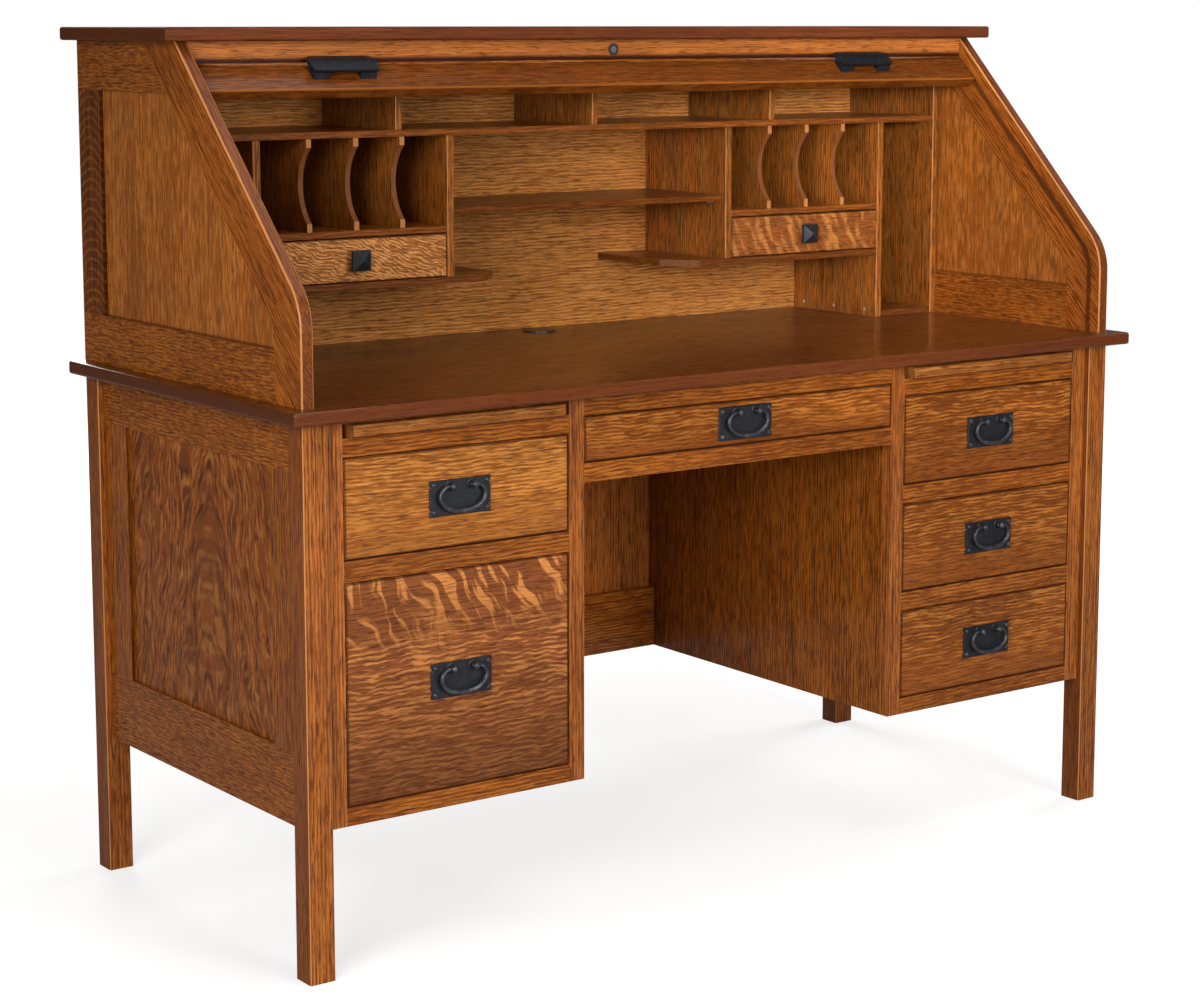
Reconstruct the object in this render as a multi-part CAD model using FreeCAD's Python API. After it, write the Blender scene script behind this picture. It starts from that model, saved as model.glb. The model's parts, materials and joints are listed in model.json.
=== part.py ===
import FreeCAD, Part
import math
import os
from collections import namedtuple

from FreeCAD import Vector

# Roll-top desk in quarter-sawn oak, with its roll open. Millimetres.
# x runs from left to right, y from front to back and z up.
# The origin is on the floor, under the middle of the desktop.

# Overall sizes
DESK_WIDTH = 1524.0
DESK_DEPTH = 665.0
DESKTOP_HEIGHT = 767.0
DESKTOP_THICKNESS = 19.0
SIDE_OVERHANG = 26.0
FRONT_OVERHANG = 26.0
BACK_OVERHANG = 3.0
EDGE_EASE = 4.0
BOARD_EASE = 1.2
TOUCHING = 1e-6

# Legs and framed sides
LEG = 38.0
LEG_EASE = 2.0
REVEAL = 10.0
FRAME_THICKNESS = 19.0
RAIL_WIDTH = 70.0
BOTTOM_RAIL_WIDTH = 101.0
PANEL_THICKNESS = 8.0
PEDESTAL_BOTTOM = 203.0
PEDESTAL_FLOOR_THICKNESS = 12.0

# Face frame
OUTER_STILE = 27.0
INNER_STILE = 25.5
KNEEHOLE_WIDTH = 571.0
KNEEHOLE_SIDE_THICKNESS = 18.0
PEDESTAL_RAIL = 24.5
DRAWER_RAIL = 28.0
BOARD_RAIL = 25.0
BOARD_STRIP = 7.0
CENTRE_TOP_RAIL = 29.0
CENTRE_OPENING = 67.0
CENTRE_RAIL = 26.5

# Lower back
BACK_FRAME_THICKNESS = 25.0
BACK_PANEL_RECESS = 3.0

# Drawers
DRAWER_GAP = 2.0
DRAWER_FRONT_THICKNESS = 19.0
DRAWER_BACK_GAP = 32.0
PENCIL_DRAWER_BACK_GAP = 102.0
TRAY_WALL = 12.0
TRAY_FLOOR = 6.0
TRAY_FLOOR_RISE = 8.0
TRAY_SIDE_PLAY = 2.0
TRAY_HEADROOM = 14.0
RUNNER_PLAY = 0.3
RUNNER_BEARING = 20.0

# Writing boards
BOARD_THICKNESS = 18.0
BOARD_SIDE_GAP = 10.0
BOARD_PROUD = 9.0
BOARD_BACK_GAP = 100.0
BOARD_PLAY = 0.25
BEARER_HEIGHT = 10.0

# Drawer pulls
PLATE_WIDTH = 97.0
PLATE_HEIGHT = 49.0
PLATE_THICKNESS = 3.0
PLATE_NOTCH = 2.4
PLATE_NOTCH_INSET = 9.0
POST_SPACING = 35.0
POST_DIAMETER = 10.0
POST_HEIGHT = 10.5
BAIL_ROD = 5.0
BAIL_PIN_PLAY = 0.06
BAIL_STANDOFF = 6.5
BAIL_PIVOT_RISE = 16.0
BAIL_WIDTH = 70.0
BAIL_DROP = 36.0
BAIL_SHOULDER = 12.0
BAIL_BELLY = 22.0
BAIL_HIP_RADIUS = 15.0
BAIL_PIN_OVERRUN = 1.0

# Upper case
UPPER_HEIGHT = 464.0
UPPER_SIDE = 19.0
FRONT_EDGE_HEIGHT = 133.0
SLOPE_ANGLE = 45.0
SIDE_BEND_RADIUS = 85.0
SLOPE_EASE = 3.0
LEAST_BEND_RADIUS = 4.0
TOP_THICKNESS = 19.0
VALANCE_HEIGHT = 30.0
VALANCE_THICKNESS = 19.0
UPPER_BACK_THICKNESS = 19.0
ROLL_SPACE = 19.0
INNER_BACK_THICKNESS = 8.0

# Tambour
CURTAIN_INSET = 19.0
SLAT_THICKNESS = 10.0
SLAT_WIDTH = 18.5
SLAT_PITCH = 19.3
SLAT_BEVEL = 2.0
CANVAS_THICKNESS = 0.8
CANVAS_GAP = 0.1
GROOVE_PLAY = 0.6
GROOVE_DEPTH = 9.0
GROOVE_OVERRUN = 24.0
TONGUE_LENGTH = 8.0
TONGUE_HEIGHT = 24.0
VALANCE_TO_CURTAIN = 5.0
TOP_BEND_RADIUS = 40.0
BACK_BEND_RADIUS = 40.0
LIFT_RAIL_HEIGHT = 47.0
LIFT_RAIL_THICKNESS = 19.0
LIFT_RAIL_END_PLAY = 1.5
LIFT_RAIL_STOP_GAP = 7.5
LIFT_RAIL_EASE = 2.5

# Iron lifts on the lift rail
LIFT_FROM_SIDE = 232.0
LIFT_LENGTH = 112.0
LIFT_FOOT_LENGTH = 26.0
LIFT_FOOT_INSET = 5.0
LIFT_FOOT_LOW = 19.0
LIFT_FOOT_HIGH = 42.0
LIFT_LOW = 23.0
LIFT_BROW = 46.0
LIFT_HIGH = 57.0
LIFT_LIP_OUT = 14.5
LIFT_BROW_OUT = 13.0
LIFT_TAIL_OUT = 7.5
LIFT_METAL = 4.5
LIFT_LIP_TAPER = 4.0
LIFT_TAIL_TAPER = 9.0

# Lock in the valance
LOCK_DIAMETER = 16.0
LOCK_FLANGE_DIAMETER = 18.0
LOCK_FLANGE = 1.5
PLUG_DIAMETER = 10.0
PLUG_PLAY = 0.05
PLUG_PROUD = 0.6
KEY_SLOT_WIDTH = 1.6
KEY_SLOT_HEIGHT = 6.0
KEY_SLOT_DEPTH = 8.0
LOCK_CAM_REACH = 14.0
LOCK_CAM_THICKNESS = 2.5
LOCK_CAM_PLAY = 0.5

# Organizer
ORGANIZER_SETBACK = 81.0
ROOF_GAP = 16.0
PARTITION_THICKNESS = 12.0
SHELF_THICKNESS = 10.0
CUBBY_WIDTH = 111.5
SORTER_WIDTH = 312.0
TOP_BAYS = 4
TOP_BAY_HEIGHT = 58.5
TOP_DIVIDER_THICKNESS = 10.5
SORTER_FLOOR_RISE = 181.5
LEDGE_RISE = 105.0
LEDGE_REACH = 97.5
LEDGE_CLIP = 45.0
LETTER_SLOTS = 4
DIVIDER_THICKNESS = 8.0
DIVIDER_TAB = 12.0
DIVIDER_SCOOP = 25.0
LETTER_DRAWER_BACK_GAP = 18.0
LETTER_FRONT_THICKNESS = 14.0
LETTER_TRAY_WALL = 8.0
LETTER_TRAY_HEADROOM = 8.0
ADJUSTABLE_SHELF_RISE = 207.0
ADJUSTABLE_SHELF_SETBACK = 10.0
ADJUSTABLE_SHELF_PLAY = 0.8
PIN_DIAMETER = 5.0
PIN_LENGTH = 9.0
PIN_INSET = 24.0

# Knobs on the organizer drawers
KNOB_WIDTH = 30.0
KNOB_SLAB = 5.0
KNOB_PYRAMID = 7.0
KNOB_TIP = 1.5
KNOB_NECK_DIAMETER = 15.0
KNOB_NECK = 9.0

# Cable grommet in the desktop
GROMMET_X = 9.0
GROMMET_FROM_BACK = 96.0
GROMMET_DIAMETER = 44.0
GROMMET_FLANGE_DIAMETER = 52.0
GROMMET_FLANGE = 2.0
GROMMET_WALL = 2.5
GROMMET_PLAY = 0.2
GROMMET_CAP_THICKNESS = 4.0

# Places that follow from the sizes above
desk_side = DESK_WIDTH / 2
desk_front = -DESK_DEPTH / 2
desk_back = DESK_DEPTH / 2
case_side = desk_side - SIDE_OVERHANG
case_front = desk_front + FRONT_OVERHANG
case_back = desk_back - BACK_OVERHANG
leg_inside = case_side - LEG
leg_back = case_front + LEG
rear_leg_front = case_back - LEG
leg_pitch = rear_leg_front - case_front
desktop_under = DESKTOP_HEIGHT - DESKTOP_THICKNESS
upper_top = DESKTOP_HEIGHT + UPPER_HEIGHT

side_frame_out = case_side - REVEAL
side_frame_in = side_frame_out - FRAME_THICKNESS
face_front = case_front + REVEAL
face_back = face_front + FRAME_THICKNESS
back_frame_out = case_back - REVEAL
back_frame_in = back_frame_out - BACK_FRAME_THICKNESS

kneehole_side = KNEEHOLE_WIDTH / 2
kneehole_side_out = kneehole_side + KNEEHOLE_SIDE_THICKNESS
opening_in = kneehole_side + INNER_STILE
opening_out = leg_inside - OUTER_STILE
opening_low = PEDESTAL_BOTTOM + PEDESTAL_RAIL
runner_height = PEDESTAL_RAIL - PEDESTAL_FLOOR_THICKNESS
slot_high = desktop_under - BOARD_STRIP
slot_low = slot_high - BOARD_THICKNESS - 2 * BOARD_PLAY
opening_high = slot_low - BOARD_RAIL
small_opening = (opening_high - opening_low - 2 * DRAWER_RAIL) / 3
centre_high = desktop_under - CENTRE_TOP_RAIL
centre_low = centre_high - CENTRE_OPENING

slope = math.radians(SLOPE_ANGLE)
slope_corner = DESKTOP_HEIGHT + FRONT_EDGE_HEIGHT
slope_run = (upper_top - slope_corner) / math.tan(slope)
slope_top = case_front + slope_run
upper_in = case_side - UPPER_SIDE
upper_back_in = case_back - UPPER_BACK_THICKNESS
inner_back_back = upper_back_in - ROLL_SPACE
inner_back_front = inner_back_back - INNER_BACK_THICKNESS
valance_low = upper_top - VALANCE_HEIGHT
curtain_centre = CURTAIN_INSET + SLAT_THICKNESS / 2
curtain_level = valance_low - VALANCE_TO_CURTAIN - SLAT_THICKNESS / 2
curtain_back = upper_back_in - ROLL_SPACE / 2


def slope_crossing(inset, height):
    """Where a line inset from the sloped edge reaches a height."""
    return case_front + inset / math.sin(slope) + (height - slope_corner) / math.tan(slope)


roof_high = curtain_level - SLAT_THICKNESS / 2 - ROOF_GAP
organizer_front = slope_crossing(CURTAIN_INSET, roof_high) + ORGANIZER_SETBACK
organizer_top = roof_high - SHELF_THICKNESS
end_panel_in = upper_in - PARTITION_THICKNESS
top_shelf_high = organizer_top - TOP_BAY_HEIGHT
top_shelf_low = top_shelf_high - SHELF_THICKNESS
sorter_floor_low = DESKTOP_HEIGHT + SORTER_FLOOR_RISE
sorter_floor_high = sorter_floor_low + SHELF_THICKNESS
ledge_low = DESKTOP_HEIGHT + LEDGE_RISE
ledge_high = ledge_low + SHELF_THICKNESS
cubby_side = end_panel_in - CUBBY_WIDTH
tall_partition = (cubby_side - PARTITION_THICKNESS, cubby_side)
sorter_side = tall_partition[0] - SORTER_WIDTH
inner_partition = (sorter_side - PARTITION_THICKNESS, sorter_side)
ledge_end = inner_partition[0] - LEDGE_REACH
top_bay_pitch = 2 * end_panel_in / TOP_BAYS
adjustable_shelf_low = DESKTOP_HEIGHT + ADJUSTABLE_SHELF_RISE
adjustable_shelf_y = (organizer_front + ADJUSTABLE_SHELF_SETBACK, inner_back_front - ADJUSTABLE_SHELF_PLAY)

# A drawer fills an opening of the case: x and z are the opening's low and high values,
# and its tray ends at back_y.
Drawer = namedtuple("Drawer", "name x z front_y front_thickness back_y wall headroom")


def pedestal_drawer(name, side, low, high):
    """A drawer in the left (side -1) or right (side 1) pedestal."""
    x = (opening_in, opening_out) if side > 0 else (-opening_out, -opening_in)
    return Drawer(name, x, (low, high), face_front, DRAWER_FRONT_THICKNESS,
                  back_frame_in - DRAWER_BACK_GAP, TRAY_WALL, TRAY_HEADROOM)


def case_drawers():
    """The six drawers of the lower case."""
    step = small_opening + DRAWER_RAIL
    top_low = opening_high - small_opening
    drawers = [
        pedestal_drawer("left_box", -1, top_low, opening_high),
        pedestal_drawer("left_file", -1, opening_low, top_low - DRAWER_RAIL),
    ]
    for row, name in enumerate(("right_bottom", "right_middle", "right_top")):
        low = opening_low + row * step
        drawers.append(pedestal_drawer(name, 1, low, low + small_opening))
    drawers.append(Drawer("pencil", (-kneehole_side, kneehole_side), (centre_low, centre_high),
                          face_front, DRAWER_FRONT_THICKNESS,
                          back_frame_in - PENCIL_DRAWER_BACK_GAP, TRAY_WALL, TRAY_HEADROOM))
    return drawers


def letter_drawers():
    """The two small drawers under the letter sorters."""
    z = (ledge_high, sorter_floor_low)
    right = (inner_partition[1], tall_partition[0])
    left = (-right[1], -right[0])
    return [Drawer(name, x, z, organizer_front, LETTER_FRONT_THICKNESS,
                   inner_back_front - LETTER_DRAWER_BACK_GAP, LETTER_TRAY_WALL, LETTER_TRAY_HEADROOM)
            for name, x in (("left_letter_drawer", left), ("right_letter_drawer", right))]


def board(x, y, z):
    """A square-edged board between the low and high values of x, y and z."""
    return Part.makeBox(x[1] - x[0], y[1] - y[0], z[1] - z[0], Vector(x[0], y[0], z[0]))


def mirrored(shapes):
    """The same pieces on the other side of the desk."""
    return [shape.mirror(Vector(), Vector(1, 0, 0)) for shape in shapes]


def paired(shapes):
    """The pieces together with their mirror images."""
    return shapes + mirrored(shapes)


def eased(solid, radius, edges):
    """The solid with the given edges rounded, by no more than its thinnest wall allows."""
    size = solid.BoundBox
    limit = min(size.XLength, size.YLength, size.ZLength) / 3
    return solid.makeFillet(min(radius, limit), edges)


def edges_at_front(solid):
    """The edges that lie on the solid's front plane."""
    front = solid.BoundBox.YMin
    return [edge for edge in solid.Edges
            if all(abs(vertex.Y - front) < TOUCHING for vertex in edge.Vertexes)]


def edges_along(solid, axis):
    """The edges of a board that run along the given axis."""
    return [edge for edge in solid.Edges
            if abs(edge.tangentAt(edge.FirstParameter).dot(axis)) > 1 - TOUCHING]


def front_eased(solid):
    """A board whose front edges are rounded."""
    return eased(solid, BOARD_EASE, edges_at_front(solid))


def save(name, shapes):
    """Write one named piece, or a group of like pieces, to its own file."""
    shape = shapes[0] if len(shapes) == 1 else Part.makeCompound(shapes)
    shape.exportStep(os.path.join("parts", name + ".step"))


# Curves in the side view. A route is a line of corners (y, z) whose bends all turn to its right.

def unit(start, end):
    """The direction from one corner to the next."""
    length = math.dist(start, end)
    return ((end[0] - start[0]) / length, (end[1] - start[1]) / length)


def along(corner, direction, distance):
    """The place at a distance from a corner in a direction."""
    return (corner[0] + direction[0] * distance, corner[1] + direction[1] * distance)


def right_of(direction):
    """The direction a quarter turn to the right."""
    return (direction[1], -direction[0])


def route_edges(corners, radii, offset, x):
    """The route's straight runs and bends at the given x, moved to its right by an offset."""
    def point(place):
        return Vector(x, place[0], place[1])

    runs = [unit(start, end) for start, end in zip(corners, corners[1:])]
    here = along(corners[0], right_of(runs[0]), offset)
    edges = []
    for corner, radius, before, after in zip(corners[1:], radii, runs, runs[1:]):
        turn = math.acos(before[0] * after[0] + before[1] * after[1])
        inward = unit((0, 0), along(right_of(before), right_of(after), 1))
        moved = along(corner, inward, offset / math.cos(turn / 2))
        bend = max(radius - offset, LEAST_BEND_RADIUS)
        reach = bend * math.tan(turn / 2)
        start = along(moved, before, -reach)
        middle = along(moved, inward, bend / math.cos(turn / 2) - bend)
        end = along(moved, after, reach)
        edges.append(Part.LineSegment(point(here), point(start)).toShape())
        edges.append(Part.Arc(point(start), point(middle), point(end)).toShape())
        here = end
    last = along(corners[-1], right_of(runs[-1]), offset)
    edges.append(Part.LineSegment(point(here), point(last)).toShape())
    return edges


def band(corners, radii, near, far, x):
    """A strip that follows a route between two offsets, between the low and high values of x."""
    outer = route_edges(corners, radii, near, x[0])
    inner = route_edges(corners, radii, far, x[0])
    first = Part.LineSegment(inner[0].Vertexes[0].Point, outer[0].Vertexes[0].Point).toShape()
    last = Part.LineSegment(outer[-1].Vertexes[-1].Point, inner[-1].Vertexes[-1].Point).toShape()
    outline = Part.Wire(outer + [last] + inner[::-1] + [first])
    return Part.Face(outline).extrude(Vector(x[1] - x[0], 0, 0))


def prism(places, x):
    """A solid with a straight-sided outline of (y, z) places, between the values of x."""
    corners = [Vector(x[0], y, z) for y, z in places]
    outline = Part.makePolygon(corners + corners[:1])
    return Part.Face(outline).extrude(Vector(x[1] - x[0], 0, 0))


def on_slope(up, out):
    """The (y, z) place at a distance up the slope from its lower corner, and out of its face."""
    y = case_front + up * math.cos(slope) - out * math.sin(slope)
    z = slope_corner + up * math.sin(slope) + out * math.cos(slope)
    return (y, z)


# Lower case

def leg():
    """The right front leg."""
    blank = board((leg_inside, case_side), (case_front, leg_back), (0, desktop_under))
    return eased(blank, LEG_EASE, edges_along(blank, Vector(0, 0, 1)))


def legs():
    """Four square legs, one at each corner."""
    front = leg()
    rear = front.translated(Vector(0, leg_pitch, 0))
    return paired([front, rear])


side_y = (leg_back, rear_leg_front)
side_bottom_rail = (PEDESTAL_BOTTOM, PEDESTAL_BOTTOM + BOTTOM_RAIL_WIDTH)
side_top_rail = (desktop_under - RAIL_WIDTH, desktop_under)
side_opening_z = (side_bottom_rail[1], side_top_rail[0])
side_opening_y = (side_y[0] + RAIL_WIDTH, side_y[1] - RAIL_WIDTH)
side_x = (side_frame_in, side_frame_out)


def panel_x(frame_x):
    """The thickness of a panel held in the middle of a frame."""
    middle = sum(frame_x) / 2
    return (middle - PANEL_THICKNESS / 2, middle + PANEL_THICKNESS / 2)


def lower_side_rails():
    """Top and bottom rails of the lower side frames."""
    return paired([board(side_x, side_y, side_top_rail), board(side_x, side_y, side_bottom_rail)])


def lower_side_stiles():
    """Front and back stiles of the lower side frames."""
    return paired([board(side_x, (side_y[0], side_opening_y[0]), side_opening_z),
                   board(side_x, (side_opening_y[1], side_y[1]), side_opening_z)])


def lower_side_panels():
    """Flat panels of the lower side frames."""
    return paired([board(panel_x(side_x), side_opening_y, side_opening_z)])


def kneehole_sides():
    """The two inner walls of the pedestals."""
    return paired([board((kneehole_side, kneehole_side_out), (face_back, back_frame_in),
                         (PEDESTAL_BOTTOM, desktop_under))])


def pedestal_floors():
    """The bottom boards of the pedestals."""
    return paired([board((kneehole_side_out, side_frame_in), side_y,
                         (PEDESTAL_BOTTOM, PEDESTAL_BOTTOM + PEDESTAL_FLOOR_THICKNESS))])


def face_stiles():
    """Upright members of the face frame."""
    z = (PEDESTAL_BOTTOM, desktop_under)
    face_y = (face_front, face_back)
    return paired([board((kneehole_side, opening_in), face_y, z),
                   board((opening_out, leg_inside), face_y, z)])


def face_rails():
    """Level members of the face frame, between the drawers and round the board slots."""
    face_y = (face_front, face_back)
    right = (opening_in, opening_out)
    both = [(PEDESTAL_BOTTOM, opening_low), (opening_high, slot_low), (slot_high, desktop_under)]
    rails = paired([board(right, face_y, z) for z in both])
    middle_low = opening_high - small_opening - DRAWER_RAIL
    rails += paired([board(right, face_y, (middle_low, middle_low + DRAWER_RAIL))])
    lower_low = opening_low + small_opening
    rails.append(board(right, face_y, (lower_low, lower_low + DRAWER_RAIL)))
    centre = (-kneehole_side, kneehole_side)
    rails.append(board(centre, face_y, (centre_high, desktop_under)))
    rails.append(board(centre, face_y, (centre_low - CENTRE_RAIL, centre_low)))
    return rails


def drawer_runners():
    """Strips that the drawers and writing boards slide on, and guides beside the boards."""
    y = (face_back, back_frame_in)
    strips = []
    for drawer in case_drawers():
        low, high = drawer.x
        z = (drawer.z[0] - runner_height, drawer.z[0])
        if drawer.name == "pencil":
            ends = [(low, low + RUNNER_BEARING), (high - RUNNER_BEARING, high)]
        elif low > 0:
            ends = [(kneehole_side_out, low + RUNNER_BEARING), (high - RUNNER_BEARING, leg_inside)]
        else:
            ends = [(-leg_inside, low + RUNNER_BEARING), (high - RUNNER_BEARING, -kneehole_side_out)]
        strips += [board(x, y, z) for x in ends]
    bearer_z = (slot_low - BEARER_HEIGHT, slot_low)
    guide_z = (slot_low, slot_high)
    inner = (kneehole_side_out, opening_in + BOARD_SIDE_GAP - RUNNER_PLAY)
    outer = (opening_out - BOARD_SIDE_GAP + RUNNER_PLAY, leg_inside)
    for x, bearing in ((inner, (inner[1], inner[1] + RUNNER_BEARING)),
                       (outer, (outer[0] - RUNNER_BEARING, outer[0]))):
        bearer_x = (min(x[0], bearing[0]), max(x[1], bearing[1]))
        strips += paired([board(x, y, guide_z), board(bearer_x, y, bearer_z)])
    return strips


def frame_bays(side):
    """The x spans of the back's panels and uprights, from left to right, inside a given side."""
    muntin = (kneehole_side, kneehole_side + RAIL_WIDTH)
    edge = (side - RAIL_WIDTH, side)
    uprights = [edge, muntin]
    uprights += [(-high, -low) for low, high in uprights]
    panels = [(-muntin[0], muntin[0]), (muntin[1], edge[0]), (-edge[0], -muntin[1])]
    return uprights, panels


lower_back_z = (PEDESTAL_BOTTOM + BOTTOM_RAIL_WIDTH, desktop_under - RAIL_WIDTH)
upper_back_z = (DESKTOP_HEIGHT + RAIL_WIDTH, upper_top - RAIL_WIDTH)
lower_back_y = (back_frame_in, back_frame_out)
upper_back_y = (upper_back_in, case_back)


def back_rails():
    """Level members of the lower and upper backs."""
    lower = (-leg_inside, leg_inside)
    upper = (-upper_in, upper_in)
    return [board(lower, lower_back_y, (PEDESTAL_BOTTOM, lower_back_z[0])),
            board(lower, lower_back_y, (lower_back_z[1], desktop_under)),
            board(upper, upper_back_y, (DESKTOP_HEIGHT, upper_back_z[0])),
            board(upper, upper_back_y, (upper_back_z[1], upper_top))]


def back_stiles():
    """Upright members of the lower and upper backs."""
    stiles = [board(x, lower_back_y, lower_back_z) for x in frame_bays(leg_inside)[0]]
    return stiles + [board(x, upper_back_y, upper_back_z) for x in frame_bays(upper_in)[0]]


def back_panels():
    """Flat panels of the lower and upper backs."""
    panels = []
    for side, y, z in ((leg_inside, lower_back_y, lower_back_z), (upper_in, upper_back_y, upper_back_z)):
        outside = y[1] - BACK_PANEL_RECESS
        panels += [board(x, (outside - PANEL_THICKNESS, outside), z) for x in frame_bays(side)[1]]
    return panels


def slab(x, y, z):
    """A level board with all its edges and its corners rounded."""
    blank = board(x, y, z)
    blank = eased(blank, EDGE_EASE, edges_along(blank, Vector(0, 0, 1)))
    rims = [edge for edge in blank.Edges
            if abs(edge.Vertexes[0].Z - edge.Vertexes[-1].Z) < TOUCHING]
    return eased(blank, EDGE_EASE, rims)


grommet_centre = Vector(GROMMET_X, desk_back - GROMMET_FROM_BACK, DESKTOP_HEIGHT)


def desktop():
    """The writing surface, with a hole for the grommet."""
    top = slab((-desk_side, desk_side), (desk_front, desk_back), (desktop_under, DESKTOP_HEIGHT))
    hole = Part.makeCylinder(GROMMET_DIAMETER / 2 + GROMMET_PLAY, DESKTOP_THICKNESS,
                             grommet_centre - Vector(0, 0, DESKTOP_THICKNESS))
    return [top.cut(hole)]


def grommet():
    """A flanged ring through the desktop, and the cap that closes it."""
    down = Vector(0, 0, -1)
    outer = GROMMET_DIAMETER / 2
    inner = outer - GROMMET_WALL
    seat = grommet_centre + Vector(0, 0, GROMMET_FLANGE)
    ring = Part.makeCylinder(outer, DESKTOP_THICKNESS, grommet_centre, down)
    ring = ring.fuse(Part.makeCylinder(GROMMET_FLANGE_DIAMETER / 2, GROMMET_FLANGE, grommet_centre))
    cap_radius = inner + GROMMET_WALL / 2
    ring = ring.cut(Part.makeCylinder(inner, DESKTOP_THICKNESS + GROMMET_FLANGE, seat, down))
    ring = ring.cut(Part.makeCylinder(cap_radius, GROMMET_CAP_THICKNESS, seat, down))
    cap = Part.makeCylinder(cap_radius - GROMMET_PLAY, GROMMET_CAP_THICKNESS, seat, down)
    return [ring.removeSplitter(), cap]


# Drawers

def drawer_front(drawer):
    """An inset drawer front with eased edges."""
    x = (drawer.x[0] + DRAWER_GAP, drawer.x[1] - DRAWER_GAP)
    z = (drawer.z[0] + DRAWER_GAP, drawer.z[1] - DRAWER_GAP)
    return front_eased(board(x, (drawer.front_y, drawer.front_y + drawer.front_thickness), z))


def drawer_tray(drawer):
    """The two sides, the back and the bottom behind a drawer front."""
    wall = drawer.wall
    x = (drawer.x[0] + TRAY_SIDE_PLAY, drawer.x[1] - TRAY_SIDE_PLAY)
    y = (drawer.front_y + drawer.front_thickness, drawer.back_y)
    z = (drawer.z[0] + RUNNER_PLAY, drawer.z[1] - drawer.headroom)
    inside = (x[0] + wall, x[1] - wall)
    floor_z = (z[0] + TRAY_FLOOR_RISE, z[0] + TRAY_FLOOR_RISE + TRAY_FLOOR)
    return [board((x[0], inside[0]), y, z),
            board((inside[1], x[1]), y, z),
            board(inside, (y[1] - wall, y[1]), z),
            board(inside, (y[0], y[1] - wall), floor_z)]


def middle(span):
    """The middle of a low and a high value."""
    return (span[0] + span[1]) / 2


def pull_plate(drawer):
    """The pull's back plate with a notch near each corner, and its two eye posts."""
    x = middle(drawer.x)
    z = middle(drawer.z)
    back = drawer.front_y
    face = back - PLATE_THICKNESS
    plate = board((x - PLATE_WIDTH / 2, x + PLATE_WIDTH / 2), (face, back),
                  (z - PLATE_HEIGHT / 2, z + PLATE_HEIGHT / 2))
    notch_z = PLATE_HEIGHT / 2 - PLATE_NOTCH_INSET
    notches = [Part.makeCylinder(PLATE_NOTCH, PLATE_THICKNESS,
                                 Vector(x + side * PLATE_WIDTH / 2, face, z + end * notch_z), Vector(0, 1, 0))
               for side in (-1, 1) for end in (-1, 1)]
    plate = plate.cut(Part.makeCompound(notches))
    plate = plate.makeChamfer(PLATE_THICKNESS / 3, edges_at_front(plate))
    pivot = Vector(x, face - BAIL_STANDOFF, z + BAIL_PIVOT_RISE)
    hole = Part.makeCylinder(BAIL_ROD / 2 + BAIL_PIN_PLAY, BAIL_WIDTH,
                             pivot - Vector(BAIL_WIDTH / 2, 0, 0), Vector(1, 0, 0))
    posts = []
    for side in (-1, 1):
        foot = Vector(x + side * POST_SPACING / 2, face, pivot.z)
        post = Part.makeCylinder(POST_DIAMETER / 2, POST_HEIGHT, foot, Vector(0, -1, 0))
        posts.append(post.cut(hole))
    return [plate] + posts


def bail_half(x, y, top, side):
    """One half of the bail's line, from the pin's end to the middle of its belly."""
    half = BAIL_WIDTH / 2
    hip = top - BAIL_SHOULDER
    low = top - BAIL_DROP
    waist = low + BAIL_BELLY
    bow = math.sin(math.pi / 4) * BAIL_SHOULDER
    shoulder = half - BAIL_SHOULDER
    inner = half - BAIL_HIP_RADIUS
    sag = (half ** 2 + BAIL_BELLY ** 2 - 2 * half * BAIL_HIP_RADIUS) / (2 * (BAIL_BELLY - BAIL_HIP_RADIUS))
    turn = math.atan2(low + sag - waist, inner)

    def point(across, up):
        return Vector(x + side * across, y, up)

    def on_hip(angle):
        return point(inner + BAIL_HIP_RADIUS * math.cos(angle), waist - BAIL_HIP_RADIUS * math.sin(angle))

    def on_belly(angle):
        return point(sag * math.cos(angle), low + sag - sag * math.sin(angle))

    start = (POST_SPACING - POST_DIAMETER) / 2 - BAIL_PIN_OVERRUN
    run = [
        Part.LineSegment(point(start, top), point(shoulder, top)),
        Part.Arc(point(shoulder, top), point(shoulder + bow, hip + bow), point(half, hip)),
        Part.LineSegment(point(half, hip), point(half, waist)),
        Part.Arc(point(half, waist), on_hip(turn / 2), on_hip(turn)),
        Part.Arc(on_hip(turn), on_belly((turn + math.pi / 2) / 2), on_belly(math.pi / 2)),
    ]
    return [piece.toShape() for piece in run]


def bail(drawer):
    """The hanging handle: a rod bent to a rounded loop whose ends turn in through the posts."""
    x = middle(drawer.x)
    y = drawer.front_y - PLATE_THICKNESS - BAIL_STANDOFF
    top = middle(drawer.z) + BAIL_PIVOT_RISE
    right = bail_half(x, y, top, 1)
    line = Part.Wire(right + bail_half(x, y, top, -1)[::-1])
    profile = Part.Wire(Part.makeCircle(BAIL_ROD / 2, right[0].Vertexes[0].Point, Vector(1, 0, 0)))
    return line.makePipeShell([profile], True, True)


def knob(drawer):
    """A square knob with a low pyramid face, on a round neck."""
    x = middle(drawer.x)
    z = middle(drawer.z)
    half = KNOB_WIDTH / 2
    tip = KNOB_TIP / 2
    neck_front = drawer.front_y - KNOB_NECK
    slab_front = neck_front - KNOB_SLAB
    foot = Vector(x, drawer.front_y, z)
    neck = Part.makeCylinder(KNOB_NECK_DIAMETER / 2, KNOB_NECK, foot, Vector(0, -1, 0))
    block = board((x - half, x + half), (slab_front, neck_front), (z - half, z + half))
    pyramid = Part.makeWedge(-tip, -KNOB_PYRAMID, -tip, -half, -half, tip, 0, tip, half, half,
                             Vector(x, slab_front, z), Vector(0, 0, 1))
    return neck.fuse([block, pyramid]).removeSplitter()


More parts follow.
